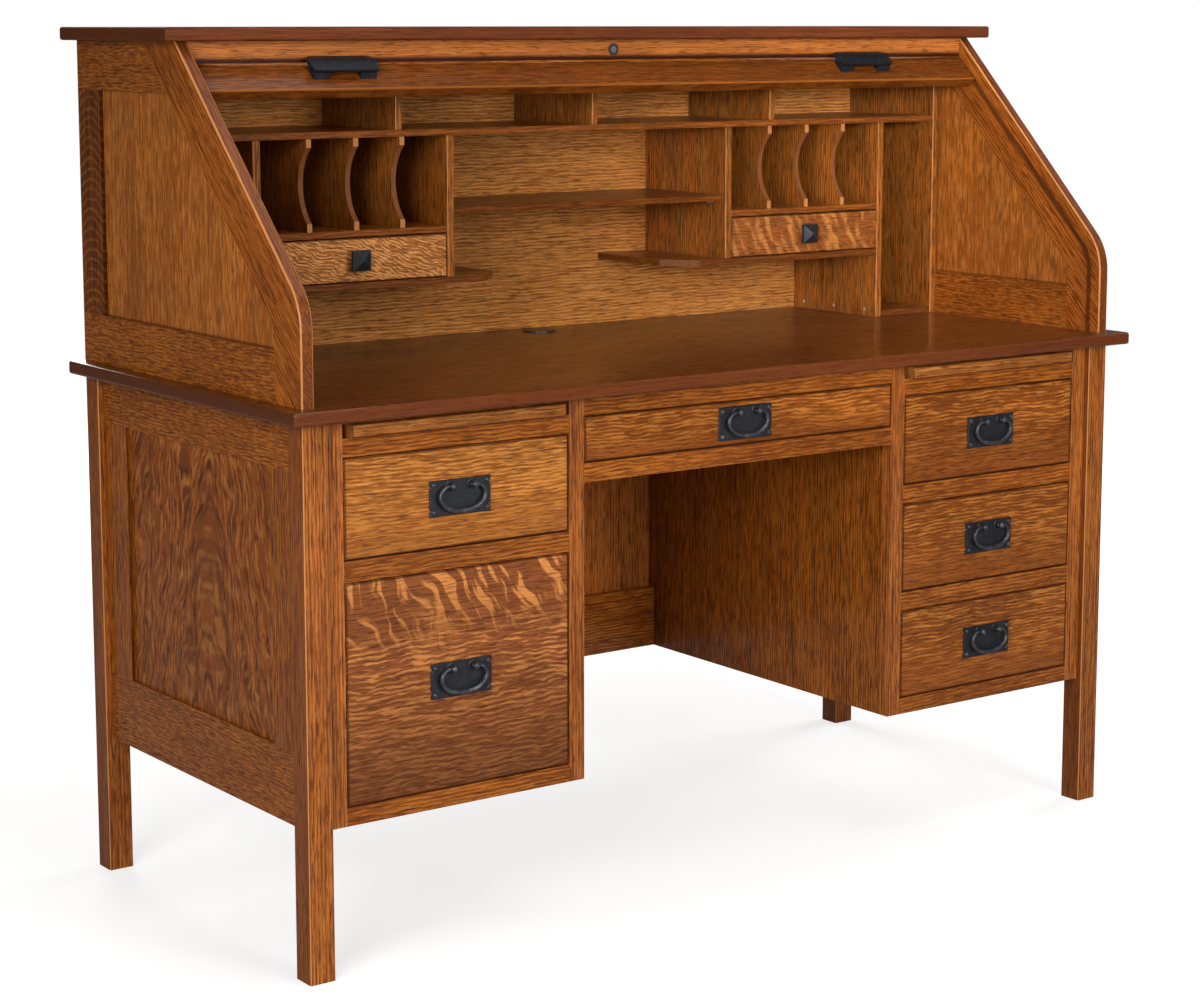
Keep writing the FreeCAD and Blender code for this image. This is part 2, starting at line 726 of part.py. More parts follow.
def writing_board():
    """The right pull-out writing board, a little proud of the face frame."""
    x = (opening_in + BOARD_SIDE_GAP, opening_out - BOARD_SIDE_GAP)
    y = (face_front - BOARD_PROUD, back_frame_in - BOARD_BACK_GAP)
    z_low = slot_low + BOARD_PLAY
    return front_eased(board(x, y, (z_low, z_low + BOARD_THICKNESS)))


# Upper case

valance_up_slope = slope_run * math.cos(slope) + (valance_low - slope_corner) * math.sin(slope)
lift_rail_top = valance_up_slope - LIFT_RAIL_STOP_GAP
lift_rail_low = lift_rail_top - LIFT_RAIL_HEIGHT

# The curtain is long enough to close: as far as the lift rail goes down to the desktop.
slat_count = math.ceil((lift_rail_low + FRONT_EDGE_HEIGHT) / SLAT_PITCH)
curtain_turn = slope_crossing(curtain_centre, curtain_level)
stow_start = curtain_turn + TOP_BEND_RADIUS * math.tan(slope / 2)
stow_level_run = curtain_back - BACK_BEND_RADIUS - stow_start
stow_bend_run = (BACK_BEND_RADIUS - SLAT_THICKNESS / 2) * math.pi / 2
stow_drop = slat_count * SLAT_PITCH - stow_level_run - stow_bend_run
stow_low = curtain_level - BACK_BEND_RADIUS - stow_drop
stow_route = [(stow_start, curtain_level), (curtain_back, curtain_level), (curtain_back, stow_low)]

edge_route = [(case_front, DESKTOP_HEIGHT), (case_front, slope_corner),
              on_slope((upper_top - slope_corner + 2 * RAIL_WIDTH) / math.sin(slope), 0)]
groove_corner = slope_corner - curtain_centre * math.tan((math.pi / 2 - slope) / 2)
curtain_route = [(case_front + curtain_centre, DESKTOP_HEIGHT),
                 (case_front + curtain_centre, groove_corner),
                 (curtain_turn, curtain_level),
                 (curtain_back, curtain_level),
                 (curtain_back, stow_low - GROOVE_OVERRUN)]
curtain_bends = [SIDE_BEND_RADIUS - curtain_centre, TOP_BEND_RADIUS, BACK_BEND_RADIUS]
upper_x = (upper_in, case_side)


def groove():
    """The space that the tambour's slats run in, cut into the right side's inner face."""
    half = SLAT_THICKNESS / 2 + GROOVE_PLAY
    return band(curtain_route, curtain_bends, -half, half, (upper_in, upper_in + GROOVE_DEPTH))


def under_top(solid):
    """The part of a sloped piece that lies below the top board."""
    size = solid.BoundBox
    keep = board((size.XMin, size.XMax), (size.YMin, size.YMax), (size.ZMin, upper_top))
    return solid.common(keep)


def slope_stiles():
    """The bent front members of the upper sides."""
    stile = under_top(band(edge_route, [SIDE_BEND_RADIUS], 0, RAIL_WIDTH, upper_x))
    edges = [edge for edge in stile.Edges if on_front_edge(edge)]
    return paired([eased(stile, SLOPE_EASE, edges).cut(groove())])


def on_front_edge(edge):
    """Whether an edge runs along the exposed front of the sloped stile."""
    front = route_edges(edge_route, [SIDE_BEND_RADIUS], 0, upper_in)
    other = route_edges(edge_route, [SIDE_BEND_RADIUS], 0, case_side)
    place = edge.valueAt((edge.FirstParameter + edge.LastParameter) / 2)
    reach = min(Part.Vertex(place).distToShape(run)[0] for run in front + other)
    return reach < TOUCHING and abs(edge.Vertexes[0].X - edge.Vertexes[-1].X) < TOUCHING


def behind_slope_stile(y, z):
    """A level upper side member that ends at the sloped stile's inner edge."""
    stile = band(edge_route, [SIDE_BEND_RADIUS], -UPPER_HEIGHT, RAIL_WIDTH, upper_x)
    return board(upper_x, y, z).cut(stile)


upper_side_y = (case_front, case_back)
upper_opening_z = (DESKTOP_HEIGHT + RAIL_WIDTH, upper_top - RAIL_WIDTH)
upper_stile_front = case_back - RAIL_WIDTH


def upper_side_rails():
    """Top and bottom rails of the upper sides."""
    top = behind_slope_stile(upper_side_y, (upper_opening_z[1], upper_top)).cut(groove())
    bottom = board(upper_x, (case_front + RAIL_WIDTH, case_back), (DESKTOP_HEIGHT, upper_opening_z[0]))
    return paired([top, bottom.cut(groove())])


def upper_side_stiles():
    """Back stiles of the upper sides."""
    return paired([board(upper_x, (upper_stile_front, case_back), upper_opening_z).cut(groove())])


def upper_side_panels():
    """Flat panels of the upper sides, cut to the slope."""
    stile = band(edge_route, [SIDE_BEND_RADIUS], -UPPER_HEIGHT, RAIL_WIDTH, upper_x)
    blank = board(panel_x(upper_x), (case_front, upper_stile_front), upper_opening_z)
    return paired([blank.cut(stile)])


def top_board():
    """The board over the upper case."""
    return slab((-desk_side, desk_side), (slope_top - FRONT_OVERHANG, desk_back),
                (upper_top, upper_top + TOP_THICKNESS))


valance_y = (slope_top, slope_top + VALANCE_THICKNESS)
lock_place = Vector(0, slope_top, upper_top - VALANCE_HEIGHT / 2)
to_front = Vector(0, -1, 0)


def valance():
    """The strip under the top board that the roll passes behind, bored for the lock."""
    strip = board((-upper_in, upper_in), valance_y, (valance_low, upper_top))
    bore = Part.makeCylinder(LOCK_DIAMETER / 2, VALANCE_THICKNESS, lock_place, Vector(0, 1, 0))
    return [strip.cut(bore)]


def lock_barrel():
    """The lock's fixed body, with a flange on the valance's face."""
    barrel = Part.makeCylinder(LOCK_DIAMETER / 2, VALANCE_THICKNESS, lock_place, Vector(0, 1, 0))
    flange = Part.makeCylinder(LOCK_FLANGE_DIAMETER / 2, LOCK_FLANGE, lock_place, to_front)
    hole = Part.makeCylinder(PLUG_DIAMETER / 2 + PLUG_PLAY, VALANCE_THICKNESS + LOCK_FLANGE,
                             lock_place + to_front * LOCK_FLANGE, Vector(0, 1, 0))
    return [barrel.fuse(flange).cut(hole).removeSplitter()]


def lock_plug():
    """The turning part of the lock: keyway in front, cam behind."""
    front = lock_place + to_front * (LOCK_FLANGE + PLUG_PROUD)
    length = LOCK_FLANGE + PLUG_PROUD + VALANCE_THICKNESS + LOCK_CAM_PLAY
    plug = Part.makeCylinder(PLUG_DIAMETER / 2, length, front, Vector(0, 1, 0))
    slot = board((-KEY_SLOT_WIDTH / 2, KEY_SLOT_WIDTH / 2), (front.y, front.y + KEY_SLOT_DEPTH),
                 (front.z - KEY_SLOT_HEIGHT / 2, front.z + KEY_SLOT_HEIGHT / 2))
    cam_front = valance_y[1] + LOCK_CAM_PLAY
    cam = board((-PLUG_DIAMETER / 2, LOCK_CAM_REACH), (cam_front, cam_front + LOCK_CAM_THICKNESS),
                (front.z - PLUG_DIAMETER / 2, front.z + PLUG_DIAMETER / 2))
    return [plug.cut(slot).fuse(cam)]


def inner_back():
    """The board behind the organizer, in front of the roll space."""
    return [board((-upper_in, upper_in), (inner_back_front, inner_back_back),
                  (DESKTOP_HEIGHT, organizer_top))]


# Tambour

def slope_board(x, up, out):
    """A board that lies on the slope, between values up the slope and out of the curtain's face."""
    places = [on_slope(u, o - CURTAIN_INSET) for u, o in
              ((up[0], out[0]), (up[1], out[0]), (up[1], out[1]), (up[0], out[1]))]
    return prism(places, x)


def lift_rail():
    """The leading bar of the tambour, with a tongue at each end that runs in the groove."""
    half = upper_in - LIFT_RAIL_END_PLAY
    bar = slope_board((-half, half), (lift_rail_low, lift_rail_top), (-LIFT_RAIL_THICKNESS, 0))
    bar = eased(bar, LIFT_RAIL_EASE, edges_along(bar, Vector(1, 0, 0)))
    reach = upper_in + TONGUE_LENGTH
    low = lift_rail_low + LIFT_RAIL_EASE
    tongue = slope_board((-reach, reach), (low, low + TONGUE_HEIGHT), (-SLAT_THICKNESS, 0))
    return [bar.fuse(tongue).removeSplitter()]


def lift(x):
    """An iron lift: a bar with a lip, a brow and pointed ends, on two feet."""
    ends = (x - LIFT_LENGTH / 2, x + LIFT_LENGTH / 2)

    def level(up, out):
        return on_slope(lift_rail_low + up, out - CURTAIN_INSET)

    def plan(across, up):
        y, z = level(up, 0)
        return Vector(across, y, z)

    bar = prism([level(LIFT_LOW, LIFT_LIP_OUT - LIFT_METAL), level(LIFT_LOW, LIFT_LIP_OUT),
                 level(LIFT_BROW, LIFT_BROW_OUT), level(LIFT_HIGH, LIFT_TAIL_OUT),
                 level(LIFT_HIGH, LIFT_TAIL_OUT - LIFT_METAL / 2),
                 level(LIFT_BROW, LIFT_BROW_OUT - LIFT_METAL)], ends)
    outline = [plan(ends[0] + LIFT_LIP_TAPER, LIFT_LOW), plan(ends[1] - LIFT_LIP_TAPER, LIFT_LOW),
               plan(ends[1], LIFT_BROW), plan(ends[1] - LIFT_TAIL_TAPER, LIFT_HIGH),
               plan(ends[0] + LIFT_TAIL_TAPER, LIFT_HIGH), plan(ends[0], LIFT_BROW)]
    face = Part.Face(Part.makePolygon(outline + outline[:1]))
    bar = bar.common(face.extrude(Vector(0, -math.sin(slope), math.cos(slope)) * LIFT_LIP_OUT))
    under = LIFT_BROW_OUT - LIFT_METAL
    feet = []
    for start in (ends[0] + LIFT_FOOT_INSET, ends[1] - LIFT_FOOT_INSET - LIFT_FOOT_LENGTH):
        feet.append(prism([level(LIFT_FOOT_LOW, 0), level(LIFT_LOW, under),
                           level(LIFT_FOOT_HIGH, under), level(LIFT_FOOT_HIGH, 0)],
                          (start, start + LIFT_FOOT_LENGTH)))
    return bar.fuse(feet).removeSplitter()


def lifts():
    """The two iron lifts."""
    place = upper_in - LIFT_FROM_SIDE
    return [lift(-place), lift(place)]


def stowed_slats():
    """The slats, side by side along the roll space, each laid square to its route."""
    back_face = route_edges(stow_route, [BACK_BEND_RADIUS], SLAT_THICKNESS / 2, 0)
    half = SLAT_WIDTH / 2
    reach = upper_in + TONGUE_LENGTH
    outline = [(-half, 0), (half, 0), (half, SLAT_THICKNESS - SLAT_BEVEL),
               (half - SLAT_BEVEL, SLAT_THICKNESS), (SLAT_BEVEL - half, SLAT_THICKNESS),
               (-half, SLAT_THICKNESS - SLAT_BEVEL)]
    slats = []
    for number in range(slat_count):
        distance = (number + 0.5) * SLAT_PITCH
        run = iter(back_face)
        edge = next(run)
        while distance > edge.Length:
            distance -= edge.Length
            edge = next(run)
        station = edge.getParameterByLength(distance)
        place = edge.valueAt(station)
        ahead = edge.tangentAt(station)
        out = Vector(0, -ahead.z, ahead.y)
        corners = [place + ahead * run_on + out * rise for run_on, rise in outline]
        slats.append(prism([(corner.y, corner.z) for corner in corners], (-reach, reach)))
    return slats


def stowed_canvas():
    """The cloth that joins the slats, on their inner side."""
    near = SLAT_THICKNESS / 2 + CANVAS_GAP
    half = upper_in - LIFT_RAIL_END_PLAY
    return [band(stow_route, [BACK_BEND_RADIUS], near, near + CANVAS_THICKNESS, (-half, half))]


# Organizer

organizer_y = (organizer_front, inner_back_front)


def organizer_partitions():
    """End panels, tall partitions, inner partitions and the top row's dividers."""
    uprights = paired([
        front_eased(board((end_panel_in, upper_in), organizer_y, (DESKTOP_HEIGHT, organizer_top))),
        front_eased(board(tall_partition, organizer_y, (DESKTOP_HEIGHT, top_shelf_low))),
        front_eased(board(inner_partition, organizer_y, (ledge_high, top_shelf_low))),
    ])
    for number in range(1, TOP_BAYS):
        x = number * top_bay_pitch - end_panel_in
        span = (x - TOP_DIVIDER_THICKNESS / 2, x + TOP_DIVIDER_THICKNESS / 2)
        uprights.append(front_eased(board(span, organizer_y, (top_shelf_high, organizer_top))))
    return uprights


def ledge():
    """The right ledge under a letter drawer, with its inner front corner clipped."""
    blank = board((ledge_end, tall_partition[0]), organizer_y, (ledge_low, ledge_high))
    corner = [edge for edge in edges_along(blank, Vector(0, 0, 1))
              if edge.Vertexes[0].X < middle((ledge_end, tall_partition[0]))
              and edge.Vertexes[0].Y < middle(organizer_y)]
    return front_eased(blank.makeChamfer(LEDGE_CLIP, corner))


def organizer_shelves():
    """The full-width shelf and top, the sorters' floors, the ledges and the cubby floors."""
    full = front_eased(board((-end_panel_in, end_panel_in), organizer_y, (top_shelf_low, top_shelf_high)))
    roof = board((-upper_in, upper_in), organizer_y, (organizer_top, roof_high))
    sorter = front_eased(board((inner_partition[1], tall_partition[0]), organizer_y,
                               (sorter_floor_low, sorter_floor_high)))
    cubby = front_eased(board((tall_partition[1], end_panel_in), organizer_y,
                              (DESKTOP_HEIGHT, DESKTOP_HEIGHT + SHELF_THICKNESS)))
    return [full, roof] + paired([sorter, ledge(), cubby])


def letter_divider(x):
    """An upright divider with square tabs at its ends and a scooped front between them."""
    span = (x - DIVIDER_THICKNESS / 2, x + DIVIDER_THICKNESS / 2)
    low = sorter_floor_high + DIVIDER_TAB
    high = top_shelf_low - DIVIDER_TAB

    def place(y, z):
        return Vector(span[0], y, z)

    deep = place(organizer_front + DIVIDER_SCOOP, middle((low, high)))
    scoop = Part.Arc(place(organizer_front, low), deep, place(organizer_front, high)).toShape()
    chord = Part.LineSegment(place(organizer_front, high), place(organizer_front, low)).toShape()
    hollow = Part.Face(Part.Wire([scoop, chord])).extrude(Vector(DIVIDER_THICKNESS, 0, 0))
    return board(span, organizer_y, (sorter_floor_high, top_shelf_low)).cut(hollow)


def letter_dividers():
    """Evenly spaced dividers in both letter sorters."""
    low, high = inner_partition[1], tall_partition[0]
    step = (high - low) / LETTER_SLOTS
    return paired([letter_divider(low + step * number) for number in range(1, LETTER_SLOTS)])


def adjustable_shelf():
    """The shelf between the inner partitions, which rests on four pins."""
    half = inner_partition[0] - ADJUSTABLE_SHELF_PLAY
    return [front_eased(board((-half, half), adjustable_shelf_y,
                              (adjustable_shelf_low, adjustable_shelf_low + SHELF_THICKNESS)))]


def pin_places():
    """The right-hand places, at the partition's face, where the shelf's pins go in."""
    z = adjustable_shelf_low - PIN_DIAMETER / 2
    return [Vector(inner_partition[0], y, z)
            for y in (adjustable_shelf_y[0] + PIN_INSET, adjustable_shelf_y[1] - PIN_INSET)]


def shelf_pins():
    """Steel pins under the adjustable shelf."""
    return paired([Part.makeCylinder(PIN_DIAMETER / 2, PIN_LENGTH, place, Vector(-1, 0, 0))
                   for place in pin_places()])


def main():
    """Write every piece of the desk."""
    os.makedirs("parts", exist_ok=True)
    save("legs", legs())
    save("side_rails", lower_side_rails() + upper_side_rails())
    save("side_stiles", lower_side_stiles() + upper_side_stiles())
    save("side_panels", lower_side_panels() + upper_side_panels())
    save("slope_stiles", slope_stiles())
    save("kneehole_sides", kneehole_sides())
    save("pedestal_floors", pedestal_floors())
    save("face_stiles", face_stiles())
    save("face_rails", face_rails())
    save("back_rails", back_rails())
    save("back_stiles", back_stiles())
    save("back_panels", back_panels())
    save("drawer_runners", drawer_runners())
    save("desktop", desktop())
    save("cable_grommet", grommet())
    save("top_board", [top_board()])
    save("valance", valance())
    save("lock_barrel", lock_barrel())
    save("lock_plug", lock_plug())
    save("inner_back", inner_back())
    save("organizer_partitions", organizer_partitions())
    save("organizer_shelves", organizer_shelves())
    save("letter_dividers", letter_dividers())
    save("adjustable_shelf", adjustable_shelf())
    save("shelf_pins", shelf_pins())
    save("lift_rail", lift_rail())
    save("lifts", lifts())
    save("tambour_slats", stowed_slats())
    save("tambour_canvas", stowed_canvas())
    for drawer in case_drawers():
        save(drawer.name + "_front", [drawer_front(drawer)])
        save(drawer.name + "_tray", drawer_tray(drawer))
        save(drawer.name + "_plate", pull_plate(drawer))
        save(drawer.name + "_bail", [bail(drawer)])
    for drawer in letter_drawers():
        save(drawer.name, [drawer_front(drawer)] + drawer_tray(drawer))
        save(drawer.name + "_knob", [knob(drawer)])
    save("right_writing_board", [writing_board()])
    save("left_writing_board", mirrored([writing_board()]))


main()
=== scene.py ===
import json
import logging
import math
from dataclasses import dataclass, field, replace
from enum import Enum
from functools import partial, reduce
from typing import Any, Callable, Mapping, Optional, Sequence, Union

import bmesh
import bpy
from mathutils import Euler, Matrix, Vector

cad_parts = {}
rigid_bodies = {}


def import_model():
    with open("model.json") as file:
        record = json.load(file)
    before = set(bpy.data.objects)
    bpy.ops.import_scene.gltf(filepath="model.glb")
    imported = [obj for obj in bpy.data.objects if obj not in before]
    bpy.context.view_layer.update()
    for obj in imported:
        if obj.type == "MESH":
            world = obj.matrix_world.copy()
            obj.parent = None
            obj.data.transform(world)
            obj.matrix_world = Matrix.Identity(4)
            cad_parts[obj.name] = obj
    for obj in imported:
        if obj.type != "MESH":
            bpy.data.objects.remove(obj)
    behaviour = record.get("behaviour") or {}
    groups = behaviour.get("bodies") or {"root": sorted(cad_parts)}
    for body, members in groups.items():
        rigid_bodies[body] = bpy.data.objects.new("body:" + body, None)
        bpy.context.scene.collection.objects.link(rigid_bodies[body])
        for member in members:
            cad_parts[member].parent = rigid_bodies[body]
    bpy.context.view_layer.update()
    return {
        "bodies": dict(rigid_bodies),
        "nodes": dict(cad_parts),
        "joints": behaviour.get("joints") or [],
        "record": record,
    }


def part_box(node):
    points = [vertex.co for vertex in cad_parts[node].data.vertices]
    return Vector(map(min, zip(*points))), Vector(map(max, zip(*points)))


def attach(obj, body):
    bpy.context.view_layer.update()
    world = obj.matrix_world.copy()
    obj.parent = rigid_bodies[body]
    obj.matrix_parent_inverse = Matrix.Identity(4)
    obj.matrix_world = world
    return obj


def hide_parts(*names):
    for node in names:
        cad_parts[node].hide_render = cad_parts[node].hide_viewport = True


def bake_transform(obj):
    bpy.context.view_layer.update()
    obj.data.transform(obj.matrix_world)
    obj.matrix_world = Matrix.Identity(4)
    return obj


# Looks of a roll-top desk in quarter-sawn oak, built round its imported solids. Metres.
# x runs from left to right, y from front to back and z up.

LOG = logging.getLogger("desk")
MM = 0.001
SIDES = ("left", "right")
# A step of 1 along the desk's slope of 45 degrees is this much in y and in z.
HALF_ROOT = math.sqrt(0.5)
# Noise on a face is cut from solid noise at this depth.
CUT = 0.5

Colour = tuple[float, float, float]
Place = tuple[float, float, float]
Span = tuple[float, float]
Value = Union["Field", float]
Tint = Union["Field", Colour]
Point = Sequence[Value]


class Grain(Enum):
    """The direction in which a board's grain runs."""

    LEVEL = "side to side"
    DEPTH = "front to back"
    UPRIGHT = "up"
    SLOPE = "up the slope"


# Node maths

class Field:
    """A node's output that takes part in Python arithmetic.

    Attributes:
        graph: The node graph that holds it.
        socket: The output socket.
    """

    def __init__(self, graph: "Graph", socket: bpy.types.NodeSocket) -> None:
        """Keeps the graph and the socket."""
        self.graph = graph
        self.socket = socket

    def __add__(self, other: Value) -> "Field":
        """This value plus another."""
        return self.graph.maths("ADD", self, other)

    def __radd__(self, other: Value) -> "Field":
        """Another value plus this one."""
        return self.graph.maths("ADD", other, self)

    def __sub__(self, other: Value) -> "Field":
        """This value less another."""
        return self.graph.maths("SUBTRACT", self, other)

    def __rsub__(self, other: Value) -> "Field":
        """Another value less this one."""
        return self.graph.maths("SUBTRACT", other, self)

    def __mul__(self, other: Value) -> "Field":
        """This value times another."""
        return self.graph.maths("MULTIPLY", self, other)

    def __rmul__(self, other: Value) -> "Field":
        """Another value times this one."""
        return self.graph.maths("MULTIPLY", other, self)

    def __truediv__(self, other: Value) -> "Field":
        """This value over another."""
        return self.graph.maths("DIVIDE", self, other)

    def __rtruediv__(self, other: Value) -> "Field":
        """Another value over this one."""
        return self.graph.maths("DIVIDE", other, self)

    def __abs__(self) -> "Field":
        """The value without its sign."""
        return self.graph.maths("ABSOLUTE", self)

    def ramp(self, low: float, high: float) -> "Field":
        """A smooth rise from 0 at one value to 1 at another."""
        return self.graph.output("ShaderNodeMapRange", {"Value": self, "From Min": low, "From Max": high},
                                 interpolation_type="SMOOTHSTEP")

    def band(self, rise: Span, fall: Span) -> "Field":
        """A smooth rise between two values and a fall between two higher ones."""
        return self.ramp(*rise) - self.ramp(*fall)


class Graph:
    """A node tree, written as expressions on fields.

    Attributes:
        tree: The node tree.
    """

    def __init__(self, tree: bpy.types.NodeTree) -> None:
        """Empties a tree and keeps it."""
        self.tree = tree
        self.tree.nodes.clear()

    def node(self, kind: str, inputs: Mapping[Any, Any], **settings: Any) -> bpy.types.Node:
        """Adds any node.

        Args:
            kind: The node's type.
            inputs: Values or fields for its sockets, by name or number.
            settings: Its properties, which are set first.

        Returns:
            The node.
        """
        made = self.tree.nodes.new(kind)
        for name, setting in settings.items():
            setattr(made, name, setting)
        for key, value in inputs.items():
            if isinstance(value, Field):
                self.tree.links.new(value.socket, made.inputs[key])
            else:
                made.inputs[key].default_value = value
        return made

    def output(self, kind: str, inputs: Mapping[Any, Any], which: Union[int, str] = 0,
               **settings: Any) -> Field:
        """One output of a new node, the first unless another is asked for."""
        return Field(self, self.node(kind, inputs, **settings).outputs[which])

    def maths(self, operation: str, first: Value, second: Value = 0.0) -> Field:
        """One step of arithmetic, by the Math node's name for it."""
        return self.output("ShaderNodeMath", {0: first, 1: second}, operation=operation)

    def least(self, *values: Value) -> Value:
        """The least of several values."""
        return reduce(lambda first, second: self.maths("MINIMUM", first, second), values)

    def vector(self, x: Value, y: Value, z: Value) -> Field:
        """Three values as one vector."""
        return self.output("ShaderNodeCombineXYZ", {0: x, 1: y, 2: z})

    def parts(self, vector: Field) -> tuple[Field, ...]:
        """The three values of a vector."""
        return tuple(Field(self, part) for part in self.node("ShaderNodeSeparateXYZ", {0: vector}).outputs)

    def scaled(self, vector: Field, by: Value) -> Field:
        """A vector or a colour times a number."""
        return self.output("ShaderNodeVectorMath", {0: vector, "Scale": by}, operation="SCALE")


class Recipe(Graph):
    """One material, which shades a point by where it lies and which way it faces.

    Attributes:
        material: The material.
    """

    # How far a normal leans on a front, a side, a flat face and the eased edge of a side
    FRONT, SIDE, FLAT = (0.3, 0.7), (0.5, 0.9), (0.35, 0.9)
    EASED = (0.15, 0.4), (0.85, 0.98)
    # Where the darkening along an edge starts to fade, as a share of its width. It is painted shadow of the
    # gaps and joints, on drawer fronts mixed with stain collected at the edge.
    EDGE_FADE = 0.3
    # Numbers of the Mix node's colour sockets
    MIX_FIRST, MIX_SECOND, MIX_RESULT = 6, 7, 2

    def __init__(self, name: str) -> None:
        """Starts an empty material of that name."""
        self.material = bpy.data.materials.new(name)
        self.material.use_nodes = True
        super().__init__(self.material.node_tree)

    def place(self) -> tuple[Field, ...]:
        """The point being shaded, as x, y and z in the desk's own frame."""
        return self.parts(self.output("ShaderNodeTexCoord", {}, "Object"))

    def moved(self, seed: float) -> Point:
        """The same point, moved sideways by a piece's own number."""
        x, y, z = self.place()
        return x + seed, y, z

    def facing(self) -> tuple[Field, ...]:
        """The surface's true normal, as x, y and z."""
        return self.parts(self.output("ShaderNodeNewGeometry", {}, "True Normal"))

    def forward(self) -> Field:
        """1 on faces that look to the front."""
        return (0.0 - self.facing()[1]).ramp(*self.FRONT)

    def sideways(self) -> Field:
        """1 on faces that look to either side."""
        return abs(self.facing()[0]).ramp(*self.SIDE)

    def eased(self) -> Field:
        """1 on the eased edges between a side face and a front."""
        return abs(self.facing()[0]).band(*self.EASED)

    def upright(self) -> Field:
        """1 on faces that stand upright."""
        return 1.0 - abs(self.facing()[2]).ramp(*self.FLAT)

    def above(self, height: float) -> Field:
        """1 above a height and 0 below it."""
        return self.place()[2].ramp(height, height + MM)

    def below(self, height: float) -> Field:
        """1 below a height and 0 above it."""
        return 1.0 - self.above(height)

    def scooped(self, low: float, high: float) -> Field:
        """1 on faces that look to the front between two heights."""
        return self.forward() * self.place()[2].band((low, low + MM), (high - MM, high))

    def tabbed(self, low: float, high: float) -> Field:
        """1 on faces that look to the front beyond those heights."""
        return self.forward() - self.scooped(low, high)

    def off_middle(self, inner: float, outer: float, fade: float) -> Field:
        """1 between two distances to either side of the desk's middle."""
        return abs(self.place()[0]).band((inner, inner + fade), (outer - fade, outer))

    def edge_darkening(self, distance: Field, width: float) -> Field:
        """1 at an edge and 0 at a width away from it."""
        return 1.0 - distance.ramp(self.EDGE_FADE * width, width)

    def noise(self, point: Point, scale: Place, detail: float = 2.0, roughness: float = 0.5) -> Field:
        """Soft noise around a half.

        Args:
            point: Where it is read.
            scale: How many features a metre holds along each of the three coordinates.
            detail: How many finer layers are added.
            roughness: How strong the finer layers are.

        Returns:
            The noise.
        """
        where = self.output("ShaderNodeVectorMath", {0: self.vector(*point), 1: scale},
                            operation="MULTIPLY")
        return self.output("ShaderNodeTexNoise", {
            "Vector": where, "Scale": 1.0, "Detail": detail, "Roughness": roughness})

    def stray(self, point: Point, scale: Place) -> Field:
        """Soft noise around 0."""
        return self.noise(point, scale) - 0.5

    def mix(self, share: Value, first: Tint, second: Tint) -> Field:
        """The first colour with a share of the second."""
        ends = [colour if isinstance(colour, Field) else (*colour, 1.0) for colour in (first, second)]
        return self.output("ShaderNodeMix", {0: share, self.MIX_FIRST: ends[0], self.MIX_SECOND: ends[1]},
                           self.MIX_RESULT, data_type="RGBA", clamp_factor=True)

    def bump(self, height: Field, depth: float, strength: float) -> Field:
        """A normal that follows a height, where a height of 1 is so many metres."""
        return self.output("ShaderNodeBump", {"Height": height, "Distance": depth, "Strength": strength})

    def finish(self, surface: Field) -> bpy.types.Material:
        """Ends the recipe in a surface shader."""
        self.node("ShaderNodeOutputMaterial", {"Surface": surface})
        return self.material


# Places on the desk

@dataclass(frozen=True)
class Slope:
    """The sloped front edge of the desk's sides.

    Attributes:
        y: Where the slope starts, from front to back.
        z: The height where it starts.
    """

    y: float = -306.5 * MM
    z: float = 900.0 * MM

    def place(self, up: float, out: float) -> Vector:
        """The place so far up the slope and out of it, in the middle of the desk."""
        return Vector((0.0, self.y + (up - out) * HALF_ROOT, self.z + (up + out) * HALF_ROOT))

    def inward(self, recipe: Recipe) -> Field:
        """How far a point lies in from the sloped edge."""
        _, y, z = recipe.place()
        return (y - z) * HALF_ROOT - (self.y - self.z) * HALF_ROOT

    def joint(self, recipe: Recipe, start: float, frame: float, width: float) -> Field:
        """The painted shadow line where the upper panels meet their frame, along the slope and over the
        lower rail.

        Args:
            recipe: The material being made.
            start: Height where the upper case begins.
            frame: Width of the frame.
            width: Width of the painted shadow along it.

        Returns:
            1 on the joint and 0 beside it.
        """
        over_rail = recipe.place()[2] - (start + frame)
        near = recipe.least(self.inward(recipe) - frame, over_rail)
        return recipe.edge_darkening(near, width) * recipe.above(start)

    def arris(self, recipe: Recipe, up: float, inward: float, fade: Span) -> Field:
        """The lower front edge of a rail that lies across the slope.

        Args:
            recipe: The material being made.
            up: Distance of the edge up the slope.
            inward: Distance of the edge in from the slope.
            fade: Distances from the edge between which it ends.

        Returns:
            1 on the edge and 0 beside it.
        """
        _, y, z = recipe.place()
        over = (y + z) * HALF_ROOT - ((self.y + self.z) * HALF_ROOT + up)
        return 1.0 - recipe.maths("MAXIMUM", over, self.inward(recipe) - inward).ramp(*fade)


@dataclass(frozen=True)
class Rim:
    """The outline of a board, seen from the front.

    Attributes:
        left: Its left edge.
        right: Its right edge.
        low: Its foot.
        high: Its top.
    """

    left: float = 0.0
    right: float = 1.0
    low: float = 0.0
    high: float = 1.0

    @classmethod
    def of(cls, node: str) -> "Rim":
        """The outline of a packed board."""
        low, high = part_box(node)
        return cls(low.x, high.x, low.z, high.z)

    def height(self, share: float) -> float:
        """The height at a share of the board, from its foot."""
        return self.low + share * (self.high - self.low)

    def risen(self, recipe: Recipe, share: float) -> Field:
        """A smooth rise from 0 at the foot to 1 at a share of the board."""
        return recipe.place()[2].ramp(self.low, self.height(share))

    def edge(self, recipe: Recipe, width: float) -> Field:
        """1 at the edge of the front face and 0 at a width inside it."""
        x, _, z = recipe.place()
        inside = recipe.least(x - self.left, self.right - x, z - self.low, self.high - z)
        return recipe.edge_darkening(inside, width) * recipe.forward()


# Finishes

